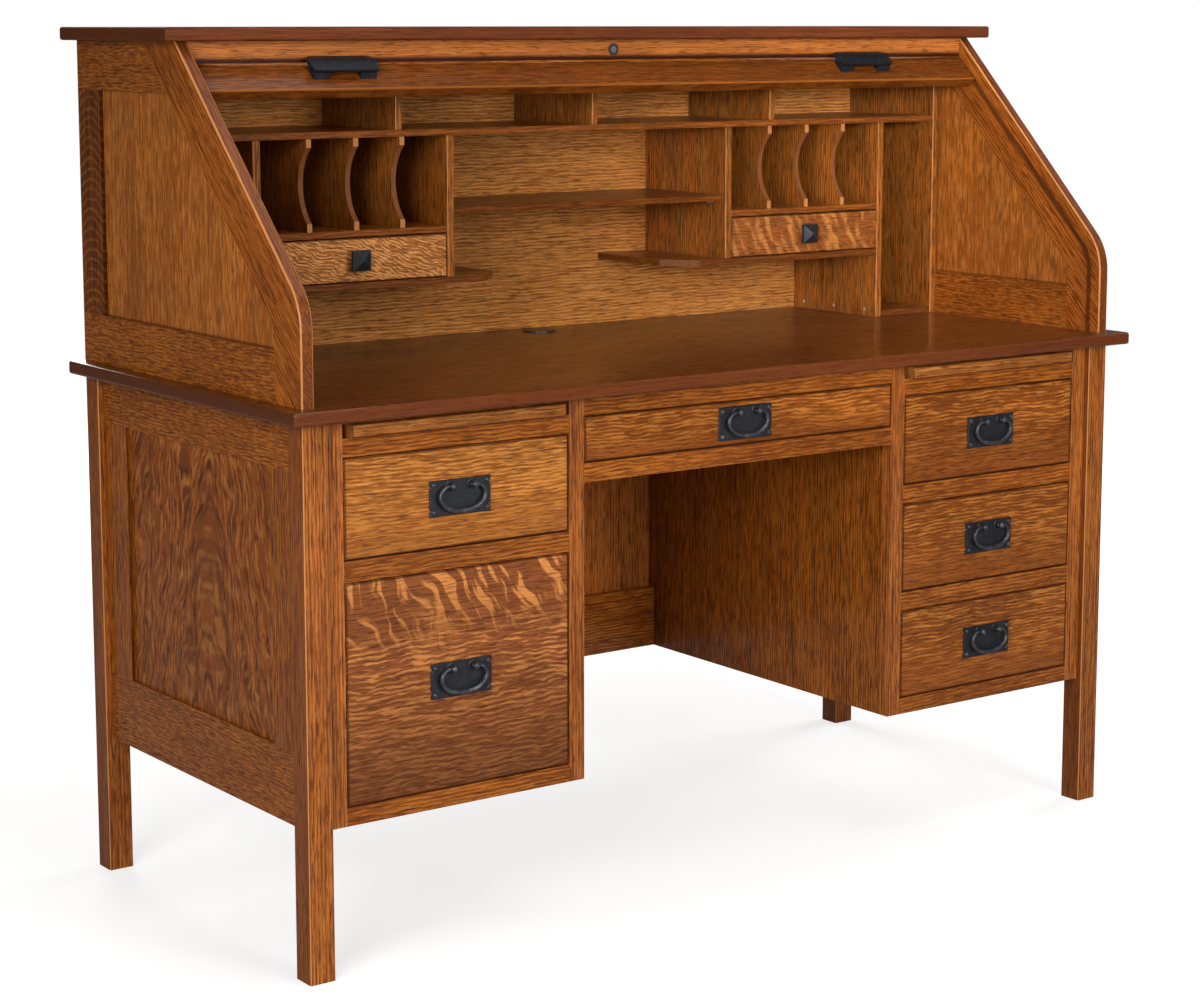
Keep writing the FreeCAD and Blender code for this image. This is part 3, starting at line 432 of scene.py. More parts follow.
@dataclass(frozen=True)
class StainAndPaintedLight:
    """A change of a board's colour in some places. Some are real stain, others painted light and shade.

    Attributes:
        where: Gives 1 in those places and 0 elsewhere.
        share: How much of the colour shows there, or how much lighter the board is without one.
        colour: The colour that is laid over the board's own, if any.
    """

    where: Callable[[Recipe], Field]
    share: float
    colour: Optional[Colour] = None

    def laid(self, recipe: Recipe, colour: Field) -> Field:
        """Lays the change of colour on a board.

        Args:
            recipe: The material being made.
            colour: The board's colour.

        Returns:
            The changed colour.
        """
        strength = self.share * self.where(recipe)
        if self.colour is None:
            return recipe.scaled(colour, 1.0 + strength)
        return recipe.mix(strength, colour, self.colour)


class Finish:
    """What all finishes share."""

    def material(self, name: str, seed: float) -> bpy.types.Material:
        """Makes the finish for one piece.

        Args:
            name: The material's name.
            seed: A number that moves the figure, so that pieces differ.

        Returns:
            The material.
        """
        recipe = Recipe(name)
        inputs = self.surface(recipe, seed)
        return recipe.finish(recipe.output("ShaderNodeBsdfPrincipled", inputs))

    def surface(self, recipe: Recipe, seed: float) -> dict[str, Value]:
        """What the surface shader is given, which is each finish's own.

        Args:
            recipe: The material being made.
            seed: A number that moves the figure.

        Returns:
            Values and fields for the shader's sockets.
        """
        raise NotImplementedError


@dataclass(frozen=True)
class Oak(Finish):
    """Stained quarter-sawn oak with ray flecks.

    A scale in capitals holds how many features there are in a metre along the grain and, twice, across it.

    Attributes:
        grain: Which way the grain runs.
        late: Colour of the dark late wood.
        body: Main colour of the stain.
        gold: Colour of the ray flecks.
        pore: Colour of the open pores.
        fleck: How strongly the flecks show, from 0 to 1.
        wave: How evenly the flecks follow one another, from 0 to about 0.3.
        ripple: Distance from one wavy fleck to the next.
        length: Usual length of a fleck.
        bend: How far the flecks wander sideways.
        lean: How far the flecks lean across the grain, as a slope.
        line: Distance from one grain line to the next.
        gloss: Weight of the clear lacquer.
        haze: Roughness of the lacquer.
        roughness: Roughness of the surface.
        stains_and_painted_light: Changes of the colour in some places, real stain and painted light and
            shade, in the order in which they are laid.
    """

    grain: Grain = Grain.LEVEL
    late: Colour = (0.125, 0.028, 0.003)
    body: Colour = (0.29, 0.074, 0.007)
    gold: Colour = (0.53, 0.172, 0.022)
    pore: Colour = (0.045, 0.009, 0.002)
    fleck: float = 0.55
    wave: float = 0.14
    ripple: float = 0.0056
    length: float = 0.036
    bend: float = 0.013
    lean: float = 0.0
    line: float = 0.0018
    gloss: float = 0.3
    haze: float = 0.13
    roughness: float = 0.42
    stains_and_painted_light: tuple[StainAndPaintedLight, ...] = ()

    SEED_ALONG, SEED_ACROSS = 1.37, 0.71
    DRIFT_SCALE = (2.2, 9.0, 9.0)
    SWAY_SCALE = (6.0, 12.0, 12.0)
    SLOW_SCALE = (11.0, 8.0, 8.0)
    QUICK_SCALE = (46.0, 38.0, 38.0)
    PATCH_SCALE = (5.0, 9.0, 9.0)
    # Features across the grain in the space of one line, and along the grain in a metre
    LINE_FEATURES, PORE_FEATURES = 0.75, 0.825
    LINES_ALONG, PORES_ALONG = 7.0, 40.0
    # Roughness of the noise that breaks the lines and flecks
    BROKEN = 0.6
    # Where the noise turns from one colour to the other
    LINE_LIMITS, PORE_LIMITS, FLECK_LIMITS = (0.3, 0.66), (0.53, 0.66), (0.6, 0.85)
    QUICK_SHARE, PATCH_SHARE, PORE_SHARE = 0.34, 0.35, 0.6
    DRIFT_LEAST, DRIFT_RANGE = 0.58, 0.84
    LINE_HEIGHT, FLECK_HEIGHT, PORE_DEPTH = 0.3, 0.25, 0.6
    RELIEF, RELIEF_STRENGTH = 0.25 * MM, 0.35
    PORE_ROUGHNESS, FLECK_SHEEN, SPECULAR = 0.12, 0.06, 0.09

    def axes(self, recipe: Recipe) -> Point:
        """Coordinates along the grain and two across it.

        Args:
            recipe: The material being made.

        Returns:
            The three coordinates.
        """
        x, y, z = recipe.place()
        if self.grain is Grain.LEVEL:
            return x, z + y, z - y
        if self.grain is Grain.DEPTH:
            return y, z + x, z - x
        if self.grain is Grain.UPRIGHT:
            return z, x + y, x - y
        square = (z - y) * HALF_ROOT
        return (y + z) * HALF_ROOT, square + x, square - x

    def flecks(self, recipe: Recipe, point: Point) -> Field:
        """The ray flecks, as wavy broken lines along the grain.

        Args:
            recipe: The material being made.
            point: Coordinates along the grain and two across it.

        Returns:
            1 on a fleck and 0 beside it.
        """
        along, across, deep = point
        slow = recipe.stray(point, self.SLOW_SCALE)
        quick = recipe.stray(point, self.QUICK_SCALE)
        bent = across + slow * self.bend + quick * (self.QUICK_SHARE * self.bend) + along * self.lean
        ripples = recipe.maths("SINE", bent * (math.tau / self.ripple))
        pitch = self.LINE_FEATURES / self.ripple
        broken = recipe.noise((along, bent, deep), (1 / self.length, pitch, pitch), roughness=self.BROKEN)
        patch = recipe.noise(point, self.PATCH_SCALE)
        return (broken + ripples * self.wave + patch * self.PATCH_SHARE).ramp(*self.FLECK_LIMITS)

    def surface(self, recipe: Recipe, seed: float) -> dict[str, Value]:
        """Grain lines, flecks and pores under lacquer.

        Args:
            recipe: The material being made.
            seed: A number that moves the figure.

        Returns:
            Values and fields for the shader's sockets.
        """
        along, across, deep = self.axes(recipe)
        point = along + seed * self.SEED_ALONG, across + seed * self.SEED_ACROSS, deep
        drift = recipe.noise(point, self.DRIFT_SCALE)
        sway = recipe.stray(point, self.SWAY_SCALE)
        bent = point[0], point[1] + sway * self.bend, deep
        line_pitch, pore_pitch = self.LINE_FEATURES / self.line, self.PORE_FEATURES / self.line
        lines = recipe.noise(bent, (self.LINES_ALONG, line_pitch, line_pitch), roughness=self.BROKEN)
        pores = recipe.noise(bent, (self.PORES_ALONG, pore_pitch, pore_pitch), detail=1.0)
        pores = pores.ramp(*self.PORE_LIMITS)
        flecks = self.flecks(recipe, point)
        colour = recipe.mix(lines.ramp(*self.LINE_LIMITS), self.late, self.body)
        colour = recipe.mix(flecks * self.fleck, colour, self.gold)
        colour = recipe.mix(pores * self.PORE_SHARE, colour, self.pore)
        colour = recipe.scaled(colour, self.DRIFT_LEAST + drift * self.DRIFT_RANGE)
        height = lines * self.LINE_HEIGHT + flecks * self.FLECK_HEIGHT - pores * self.PORE_DEPTH
        return {
            "Base Color": self.tone(recipe, colour),
            "Roughness": self.roughness + pores * self.PORE_ROUGHNESS - flecks * self.FLECK_SHEEN,
            "Specular IOR Level": self.SPECULAR, "Coat Weight": self.gloss, "Coat Roughness": self.haze,
            "Normal": recipe.bump(height, self.RELIEF, self.RELIEF_STRENGTH)}

    def tone(self, recipe: Recipe, colour: Field) -> Field:
        """The board's colour with its real stain and painted light and shade laid on."""
        return reduce(lambda below, stain: stain.laid(recipe, below), self.stains_and_painted_light, colour)


@dataclass(frozen=True)
class DrawerOak(Oak):
    """Oak of a drawer front, with a dark rim, partly stain collected at the edge and partly painted shadow
    of the gap round the board, and flecks that fade towards its foot.

    Attributes:
        rim: The outline of the front.
        rim_width: Width of the darker rim.
        rim_share: How dark the rim is at its edge, from 0 to 1.
        foot: How strong the flecks still are at the foot of the board.
        full: The share of the board's height from which they are at full strength.
    """

    rim: Rim = Rim()
    rim_width: float = 3.2 * MM
    rim_share: float = 0.85
    foot: float = 0.2
    full: float = 0.75

    def flecks(self, recipe: Recipe, point: Point) -> Field:
        """The ray flecks, fainter towards the foot of the board."""
        strength = self.foot + (1.0 - self.foot) * self.rim.risen(recipe, self.full)
        return super().flecks(recipe, point) * strength

    def tone(self, recipe: Recipe, colour: Field) -> Field:
        """Darkens the rim of the front face, most at the very edge."""
        # The dark rim is partly stain collected at the edge and partly painted shadow of the gap round the
        # board.
        edge = StainAndPaintedLight(partial(self.rim.edge, width=self.rim_width), self.rim_share, self.pore)
        return edge.laid(recipe, super().tone(recipe, colour))


@dataclass(frozen=True)
class FlamedOak(DrawerOak):
    """Oak whose flecks turn into leaning flames towards the top of the board.

    Attributes:
        flame: Shares of the board's height between which the flames take over.
        flame_lean: Angle of the flames below the level, in degrees.
        curl: How far the flames wander sideways.
        ragged: How far the height where they begin wanders.
        dim: How bright the board still is at its foot.
    """

    flame: Span = (0.66, 0.86)
    flame_lean: float = 58.0
    curl: float = 0.07
    ragged: float = 0.12
    dim: float = 0.66

    CURL_SCALE, FLAME_SCALE, FLAME_LIMITS = (10.0, 10.0, 1.0), (14.0, 95.0, 1.0), (0.52, 0.63)

    def flecks(self, recipe: Recipe, point: Point) -> Field:
        """The ray flecks below and the flames above.

        Args:
            recipe: The material being made.
            point: Coordinates along the grain and two across it.

        Returns:
            1 on a fleck or flame and 0 beside it.
        """
        x, _, z = recipe.place()
        turn = math.radians(self.flame_lean)
        flow = x * math.cos(turn) - z * math.sin(turn)
        side = x * math.sin(turn) + z * math.cos(turn)
        curl = recipe.stray((x, z, CUT), self.CURL_SCALE)
        flames = recipe.noise((flow, side + curl * self.curl, CUT), self.FLAME_SCALE)
        share = (z + curl * self.ragged).ramp(*map(self.rim.height, self.flame))
        return super().flecks(recipe, point) * (1.0 - share) + flames.ramp(*self.FLAME_LIMITS) * share

    def tone(self, recipe: Recipe, colour: Field) -> Field:
        """Darkens the rim, and the board towards its foot."""
        brightness = self.dim + (1.0 - self.dim) * self.rim.risen(recipe, self.flame[0])
        return super().tone(recipe, recipe.scaled(colour, brightness))


@dataclass(frozen=True)
class ArchedOak(Oak):
    """Oak of the side panels, with pointed arches in the lower ones and straight grain in the upper ones.

    Attributes:
        start: Height where the upper panels begin.
        middle: Where the arches' points are, from front to back.
        rise: How steeply the arches climb.
        crown: Half the width of an arch's rounded point.
        wander: How far the arches stray.
    """

    start: float = 0.0
    middle: float = 0.0
    rise: float = 7.0
    crown: float = 0.024
    wander: float = 0.1

    WANDER_SCALE = (2.0, 10.0, 6.0)

    def axes(self, recipe: Recipe) -> Point:
        """Coordinates along the grain and two across it, which follow the arches.

        Args:
            recipe: The material being made.

        Returns:
            The three coordinates.
        """
        along, across, deep = super().axes(recipe)
        x, y, z = recipe.place()
        wander = recipe.stray((x, y, z), self.WANDER_SCALE)
        off = y - self.middle + wander * self.wander
        arch = recipe.maths("SQRT", off * off + self.crown ** 2) + z / self.rise
        above = recipe.above(self.start)
        below = 1.0 - above
        return along, across * above + arch * below, deep * above + x * below


@dataclass(frozen=True)
class ScallopedOak(Oak):
    """Oak whose flecks have the shape of scallops in its upper length.

    Attributes:
        start: Height where the upper length begins.
        middle: Where the scallops' crowns are, from front to back.
        pitch: Distance from one scallop to the next.
        sag: How far a scallop's ends hang, per square metre.
    """

    start: float = 0.0
    middle: float = 0.0
    pitch: float = 0.0145
    sag: float = 12.0

    LOOSE_SCALE, SCALLOP_LIMITS = (30.0, 60.0, 1.0), (0.7, 1.5)

    def flecks(self, recipe: Recipe, point: Point) -> Field:
        """Plain flecks below and scallops above.

        Args:
            recipe: The material being made.
            point: Coordinates along the grain and two across it.

        Returns:
            1 on a fleck and 0 beside it.
        """
        _, y, z = recipe.place()
        off = y - self.middle
        loose = recipe.noise((y, z, CUT), self.LOOSE_SCALE)
        height = z + off * off * self.sag + (loose - 0.5) * self.pitch
        scallops = recipe.maths("SINE", height * (math.tau / self.pitch)) + loose
        above = recipe.above(self.start)
        plain = super().flecks(recipe, point)
        return plain * (1.0 - above) + above * scallops.ramp(*self.SCALLOP_LIMITS)


@dataclass(frozen=True)
class Iron(Finish):
    """Blackened wrought iron, rubbed a little on its high places.

    Attributes:
        body: Main colour.
        rubbed: Colour of the worn places.
        dimple: Usual size of a hammer mark.
        roughness: Roughness of the surface.
    """

    body: Colour = (0.022, 0.023, 0.029)
    rubbed: Colour = (0.05, 0.053, 0.064)
    dimple: float = 0.009
    roughness: float = 0.42

    GRIT_SCALE = (1400.0, 1400.0, 1400.0)
    WORN_LIMITS, WORN_SHARE, WORN_SHEEN = (0.45, 0.8), 0.6, 0.1
    METALLIC, GRIT_ROUGHNESS = 0.5, 0.12
    MARK_HEIGHT, GRIT_HEIGHT = 0.7, 0.3
    RELIEF, RELIEF_STRENGTH = 0.2 * MM, 0.3

    def surface(self, recipe: Recipe, seed: float) -> dict[str, Value]:
        """Hammer marks with grit between them.

        Args:
            recipe: The material being made.
            seed: A number that moves the marks.

        Returns:
            Values and fields for the shader's sockets.
        """
        point = recipe.moved(seed)
        marks = recipe.noise(point, (1 / self.dimple,) * 3)
        grit = recipe.noise(point, self.GRIT_SCALE, detail=1.0)
        worn = marks.ramp(*self.WORN_LIMITS) * self.WORN_SHARE
        height = marks * self.MARK_HEIGHT + grit * self.GRIT_HEIGHT
        return {
            "Base Color": recipe.mix(worn, self.body, self.rubbed),
            "Metallic": self.METALLIC,
            "Roughness": self.roughness + grit * self.GRIT_ROUGHNESS - worn * self.WORN_SHEEN,
            "Normal": recipe.bump(height, self.RELIEF, self.RELIEF_STRENGTH)}


@dataclass(frozen=True)
class TrayWood(Finish):
    """Pale clear-finished wood inside the drawers.

    Attributes:
        body: Main colour.
        streak: Colour of the grain lines.
        roughness: Roughness of the surface.
    """

    body: Colour = (0.52, 0.34, 0.16)
    streak: Colour = (0.36, 0.2, 0.085)
    roughness: float = 0.55

    LINE_SCALE, LINE_LIMITS, LINE_DETAIL, LINE_BROKEN = (160.0, 6.0, 160.0), (0.42, 0.7), 3.0, 0.6
    FINE_SCALE, FINE_LEAST, FINE_RANGE, FINE_ROUGHNESS = (900.0, 40.0, 900.0), 0.88, 0.24, 0.1
    RELIEF, RELIEF_STRENGTH = 0.15 * MM, 0.3

    def surface(self, recipe: Recipe, seed: float) -> dict[str, Value]:
        """Grain lines that run from front to back.

        Args:
            recipe: The material being made.
            seed: A number that moves the grain.

        Returns:
            Values and fields for the shader's sockets.
        """
        point = recipe.moved(seed)
        lines = recipe.noise(point, self.LINE_SCALE, self.LINE_DETAIL, self.LINE_BROKEN)
        fine = recipe.noise(point, self.FINE_SCALE, detail=1.0)
        colour = recipe.mix(lines.ramp(*self.LINE_LIMITS), self.body, self.streak)
        return {
            "Base Color": recipe.scaled(colour, self.FINE_LEAST + fine * self.FINE_RANGE),
            "Roughness": self.roughness + fine * self.FINE_ROUGHNESS,
            "Normal": recipe.bump((lines + fine) / 2, self.RELIEF, self.RELIEF_STRENGTH)}


@dataclass(frozen=True)
class SatinSteel(Finish):
    """Satin nickel-plated steel.

    Attributes:
        body: Main colour.
        brushed: Colour of the brush marks.
        roughness: Roughness between the marks.
    """

    body: Colour = (0.55, 0.54, 0.52)
    brushed: Colour = (0.42, 0.41, 0.4)
    roughness: float = 0.24

    BRUSH_SCALE, BRUSH_ROUGHNESS, METALLIC = (5000.0, 700.0, 700.0), 0.14, 0.95

    def surface(self, recipe: Recipe, seed: float) -> dict[str, Value]:
        """Fine brush marks."""
        brush = recipe.noise(recipe.moved(seed), self.BRUSH_SCALE, detail=1.0)
        return {"Base Color": recipe.mix(brush, self.body, self.brushed), "Metallic": self.METALLIC,
                "Roughness": self.roughness + brush * self.BRUSH_ROUGHNESS}


@dataclass(frozen=True)
class Plastic(Finish):
    """Dark satin plastic of the cable grommet.

    Attributes:
        body: Main colour.
        speck: Colour of the grit in it.
        roughness: Roughness of the surface.
    """

    body: Colour = (0.022, 0.017, 0.014)
    speck: Colour = (0.04, 0.032, 0.027)
    roughness: float = 0.3

    GRIT_SCALE, GRIT_ROUGHNESS = (1800.0, 1800.0, 1800.0), 0.12
    RELIEF, RELIEF_STRENGTH = 0.1 * MM, 0.2

    def surface(self, recipe: Recipe, seed: float) -> dict[str, Value]:
        """A fine grit."""
        grit = recipe.noise(recipe.moved(seed), self.GRIT_SCALE)
        return {"Base Color": recipe.mix(grit, self.body, self.speck),
                "Roughness": self.roughness + grit * self.GRIT_ROUGHNESS,
                "Normal": recipe.bump(grit, self.RELIEF, self.RELIEF_STRENGTH)}


@dataclass(frozen=True)
class Canvas(Finish):
    """Plain woven cloth behind the slats.

    Attributes:
        body: Colour of the threads.
        shadow: Colour between the threads.
        thread: Distance from thread to thread.
        roughness: Roughness of the cloth.
    """

    body: Colour = (0.32, 0.25, 0.16)
    shadow: Colour = (0.14, 0.1, 0.06)
    thread: float = 0.0012
    roughness: float = 0.9

    SLUB_SCALE, SLUB_LEAST, SLUB_RANGE = (40.0, 400.0, 400.0), 0.7, 0.6
    RELIEF, RELIEF_STRENGTH = 0.4 * MM, 0.5

    def surface(self, recipe: Recipe, seed: float) -> dict[str, Value]:
        """Threads that cross, some thicker than others.

        Args:
            recipe: The material being made.
            seed: A number that moves the weave.

        Returns:
            Values and fields for the shader's sockets.
        """
        x, y, z = recipe.place()
        turns = math.tau / self.thread
        warp = recipe.maths("SINE", (x + seed) * turns)
        weft = recipe.maths("SINE", (y + z) * turns)
        weave = 0.5 + 0.5 * (warp * weft)
        slub = recipe.noise((x, y, z), self.SLUB_SCALE)
        colour = recipe.mix(weave, self.shadow, self.body)
        return {
            "Base Color": recipe.scaled(colour, self.SLUB_LEAST + self.SLUB_RANGE * slub),
            "Roughness": self.roughness,
            "Normal": recipe.bump(weave, self.RELIEF, self.RELIEF_STRENGTH)}


# Painted highlight: a pale gold laid on the eased edges between a side and a front, where lacquer would
# catch the light.
PAINTED_EDGE_HIGHLIGHT = StainAndPaintedLight(Recipe.eased, share=0.7, colour=(0.62, 0.27, 0.09))
LEVEL_OAK = Oak()
DEPTH_OAK = Oak(
    grain=Grain.DEPTH, late=(0.145, 0.035, 0.004), body=(0.24, 0.062, 0.006), gold=(0.48, 0.155, 0.02),
    fleck=0.5, length=0.014, bend=0.02, ripple=0.005, wave=0.1, line=0.0022)
UPRIGHT_GRAIN = dict(
    grain=Grain.UPRIGHT, late=(0.11, 0.024, 0.003), fleck=0.5, length=0.03, bend=0.005, line=0.0028)
UPRIGHT_OAK = Oak(**UPRIGHT_GRAIN)
BACK_OAK = replace(UPRIGHT_OAK, late=(0.17, 0.044, 0.01), body=(0.5, 0.14, 0.022))
SLOPE_OAK = replace(UPRIGHT_OAK, grain=Grain.SLOPE, body=(0.32, 0.084, 0.01), fleck=0.4, gloss=0.12)
FACE_OAK = replace(
    UPRIGHT_OAK, late=(0.13, 0.031, 0.007), body=(0.42, 0.118, 0.02), gold=(0.56, 0.19, 0.034), line=0.0021)
LEG_OAK = replace(
    FACE_OAK, body=(0.365, 0.1, 0.015),
    stains_and_painted_light=(StainAndPaintedLight(Recipe.sideways, share=0.55, colour=(0.1, 0.022, 0.004)), PAINTED_EDGE_HIGHLIGHT))
PANEL_OAK = ArchedOak(**dict(
    UPRIGHT_GRAIN, late=(0.125, 0.028, 0.002), body=(0.265, 0.062, 0.004), gold=(0.52, 0.185, 0.034),
    fleck=0.55, wave=0.05, line=0.0038, ripple=0.006))
STILE_OAK = ScallopedOak(**UPRIGHT_GRAIN)
PARTITION_OAK = replace(
    UPRIGHT_OAK, late=(0.13, 0.038, 0.006), body=(0.25, 0.075, 0.012), stains_and_painted_light=(PAINTED_EDGE_HIGHLIGHT,))
GOLDEN_OAK = Oak(
    late=(0.23, 0.072, 0.012), body=(0.56, 0.205, 0.042), gold=(0.76, 0.34, 0.085), wave=0.18)
BROWN_OAK = Oak(late=(0.075, 0.018, 0.002), body=(0.155, 0.038, 0.004), gold=(0.28, 0.08, 0.01))
# The valance's dark foot is painted shadow of the gap between it and the lift rail.
VALANCE_OAK = DrawerOak(
    late=(0.32, 0.094, 0.02), body=(0.58, 0.18, 0.034), gold=(0.7, 0.26, 0.062), fleck=0.25, line=0.0016,
    rim_width=10.0 * MM, rim_share=1.0)
# The writing boards' dark rim is painted shadow of the gaps round them.
BOARD_OAK = DrawerOak(
    late=(0.2, 0.06, 0.01), body=(0.4, 0.13, 0.022), gold=(0.64, 0.25, 0.055), rim_width=2.5 * MM)
SMOOTH_OAK = Oak(
    late=(0.085, 0.021, 0.004), body=(0.142, 0.037, 0.006), gold=(0.21, 0.06, 0.011), fleck=0.25,
    length=0.06, line=0.0032, gloss=0.4, haze=0.09, roughness=0.38,
    stains_and_painted_light=(StainAndPaintedLight(Recipe.upright, share=0.4, colour=(0.155, 0.034, 0.011)),
            StainAndPaintedLight(Recipe.sideways, share=0.65, colour=(0.06, 0.016, 0.005))))
DARK_TOP_OAK = replace(
    SMOOTH_OAK, late=(0.055, 0.012, 0.004), body=(0.15, 0.04, 0.009), gold=(0.2, 0.056, 0.012),
    gloss=0.04, haze=0.4, roughness=0.6)
LEFT_BOX_OAK = DrawerOak(
    late=(0.2, 0.057, 0.007), body=(0.41, 0.133, 0.018), gold=(0.7, 0.27, 0.055), fleck=0.75, wave=0.11,
    foot=0.35)
LEFT_FILE_OAK = FlamedOak(
    late=(0.135, 0.036, 0.009), body=(0.275, 0.079, 0.018), gold=(0.64, 0.24, 0.06), fleck=0.82, wave=0.12,
    ripple=0.0074, length=0.04, bend=0.026, foot=0.35)
RIGHT_OAK = DrawerOak(
    late=(0.17, 0.042, 0.005), body=(0.255, 0.066, 0.007), gold=(0.62, 0.22, 0.034), fleck=0.75, wave=0.1,
    bend=0.017, length=0.044)
LETTER_OAKS = {
    "left": DrawerOak(
        late=(0.2, 0.064, 0.014), body=(0.42, 0.15, 0.038), gold=(0.78, 0.35, 0.1), fleck=0.8, lean=0.4,
        length=0.02, bend=0.04, rim_width=2.0 * MM, foot=1.0),
    "right": DrawerOak(
        late=(0.16, 0.046, 0.009), body=(0.29, 0.09, 0.019), gold=(0.64, 0.26, 0.064), fleck=0.6, lean=2.4,
        ripple=0.05, bend=0.09, wave=0.1, rim_width=2.0 * MM, foot=0.8)}
PLATE_IRON = Iron()
BLACK_IRON = Iron(body=(0.013, 0.015, 0.02), rubbed=(0.032, 0.036, 0.044))
WORN_IRON = Iron(body=(0.05, 0.052, 0.06), rubbed=(0.17, 0.175, 0.19), roughness=0.3)
STEEL = SatinSteel()
DARK_STEEL = SatinSteel(body=(0.1, 0.1, 0.1), brushed=(0.16, 0.155, 0.15))


# Meshes

def new_piece(name: str, mesh: bpy.types.Mesh, material: bpy.types.Material) -> bpy.types.Object:
    """Puts a mesh into the scene as a piece at the origin.

    Args:
        name: The piece's name.
        mesh: Its mesh, already in place.
        material: Its finish.

    Returns:
        The object.
    """
    mesh.materials.clear()
    mesh.materials.append(material)
    piece = bpy.data.objects.new(name, mesh)
    bpy.context.scene.collection.objects.link(piece)
    return piece


def spline_points(places: Sequence[Vector], steps: int) -> list[Vector]:
    """Points on a smooth curve through the given places.

    Args:
        places: Where the curve goes.
        steps: How many points each stretch gets.

    Returns:
        The points, ends included.
    """
    known = [2 * places[0] - places[1], *places, 2 * places[-1] - places[-2]]
    points = []
    for before, start, end, after in zip(known, known[1:], known[2:], known[3:]):
        for step in range(steps):
            t = step / steps
            points.append(0.5 * (2 * start + (end - before) * t
                                 + (2 * before - 5 * start + 4 * end - after) * t ** 2
                                 + (3 * start - before - 3 * end + after) * t ** 3))
    return [*points, places[-1]]


def rod_mesh(name: str, points: Sequence[Vector], radii: Sequence[float], sides: int) -> bpy.types.Mesh:
    """A round rod of changing thickness along a line of points.

    Args:
        name: The mesh's name.
        points: The rod's middle line.
        radii: Its radius at each point.
        sides: How many flats go round it.

    Returns:
        The closed mesh, shaded smoothly.
    """
    shape = bmesh.new()
    rings = []
    turns = [math.tau * step / sides for step in range(sides)]
    side = Vector((0, 1, 0))
    for number, (point, radius) in enumerate(zip(points, radii)):
        ahead = points[min(number + 1, len(points) - 1)] - points[max(number - 1, 0)]
        ahead.normalize()
        side = (side - ahead * side.dot(ahead)).normalized()
        up = ahead.cross(side)
        rings.append([shape.verts.new(point + (side * math.cos(turn) + up * math.sin(turn)) * radius)
                      for turn in turns])
    for low, high in zip(rings, rings[1:]):
        for step in range(sides):
            after = (step + 1) % sides
            shape.faces.new((low[step], low[after], high[after], high[step]))
    shape.faces.new(rings[0][::-1])
    shape.faces.new(rings[-1])
    bmesh.ops.recalc_face_normals(shape, faces=shape.faces)
    mesh = bpy.data.meshes.new(name)
    shape.to_mesh(mesh)
    shape.free()
    mesh.polygons.foreach_set("use_smooth", [True] * len(mesh.polygons))
    return mesh


# Repeated shapes

class Tree(Graph):
    """A geometry node tree with named inputs, one of them the finish.

    Attributes:
        sockets: The named inputs.
        given: Their values inside the tree.
    """

    def __init__(self, name: str, inputs: Mapping[str, str]) -> None:
        """Starts a tree.

        Args:
            name: The tree's name.
            inputs: What each named input holds, such as Float.
        """
        super().__init__(bpy.data.node_groups.new(name, "GeometryNodeTree"))
        face = self.tree.interface
        self.sockets = {label: face.new_socket(label, in_out="INPUT", socket_type=f"NodeSocket{kind}")
                        for label, kind in {**inputs, "Finish": "Material"}.items()}
        face.new_socket("Geometry", in_out="OUTPUT", socket_type="NodeSocketGeometry")
        outputs = self.node("NodeGroupInput", {}).outputs
        self.given = {label: Field(self, outputs[label]) for label in self.sockets}

    def close(self, geometry: Field) -> None:
        """Ends the tree in plain, smoothly shaded geometry with its finish.

        Args:
            geometry: What the tree has made.
        """
        plain = self.output("GeometryNodeRealizeInstances", {"Geometry": geometry})
        shaded = self.output("GeometryNodeSetShadeSmooth", {"Geometry": plain, "Shade Smooth": True})
        dressed = {"Geometry": shaded, "Material": self.given["Finish"]}
        self.node("NodeGroupOutput", {0: self.output("GeometryNodeSetMaterial", dressed)})

    def grow(self, name: str, values: Mapping[str, Any]) -> bpy.types.Object:
        """Runs the tree once and keeps the result as a plain mesh.

        Args:
            name: The piece's name.
            values: A value for each named input.

        Returns:
            The piece.
        """
        carrier = bpy.data.objects.new(name + "_carrier", bpy.data.meshes.new(name + "_carrier"))
        bpy.context.scene.collection.objects.link(carrier)
        modifier = carrier.modifiers.new("grow", "NODES")
        modifier.node_group = self.tree
        for label, value in values.items():
            modifier[self.sockets[label].identifier] = value
        ready = bpy.context.evaluated_depsgraph_get()
        mesh = bpy.data.meshes.new_from_object(carrier.evaluated_get(ready))
        mesh.name = name
        bpy.data.objects.remove(carrier)
        return new_piece(name, mesh, values["Finish"])


def dome_tree(name: str, turn: Euler, segments: int = 18, rings: int = 10) -> Tree:
    """A tree that sets domes in rows and columns on a flat face.

    Args:
        name: The tree's name.
        turn: How the face is turned from lying flat.
        segments: How many flats go round a dome.
        rings: How many go over it.

    Returns:
        The tree.
    """
    tree = Tree(name, {"Columns": "Int", "Rows": "Int", "Across": "Float", "Up": "Float", "Radius": "Float",
                       "Rise": "Float", "Centre": "Vector"})
    given = tree.given
    grid = tree.output("GeometryNodeMeshGrid", {
        "Size X": given["Across"], "Size Y": given["Up"],
        "Vertices X": given["Columns"], "Vertices Y": given["Rows"]})
    dome = tree.output("GeometryNodeMeshUVSphere", {"Segments": segments, "Rings": rings, "Radius": 1.0})
    size = tree.vector(given["Radius"], given["Radius"], given["Rise"])
    placed = tree.output("GeometryNodeInstanceOnPoints", {"Points": grid, "Instance": dome, "Scale": size})
    tree.close(tree.output("GeometryNodeTransform", {
        "Geometry": placed, "Rotation": turn, "Translation": given["Centre"]}))
    return tree


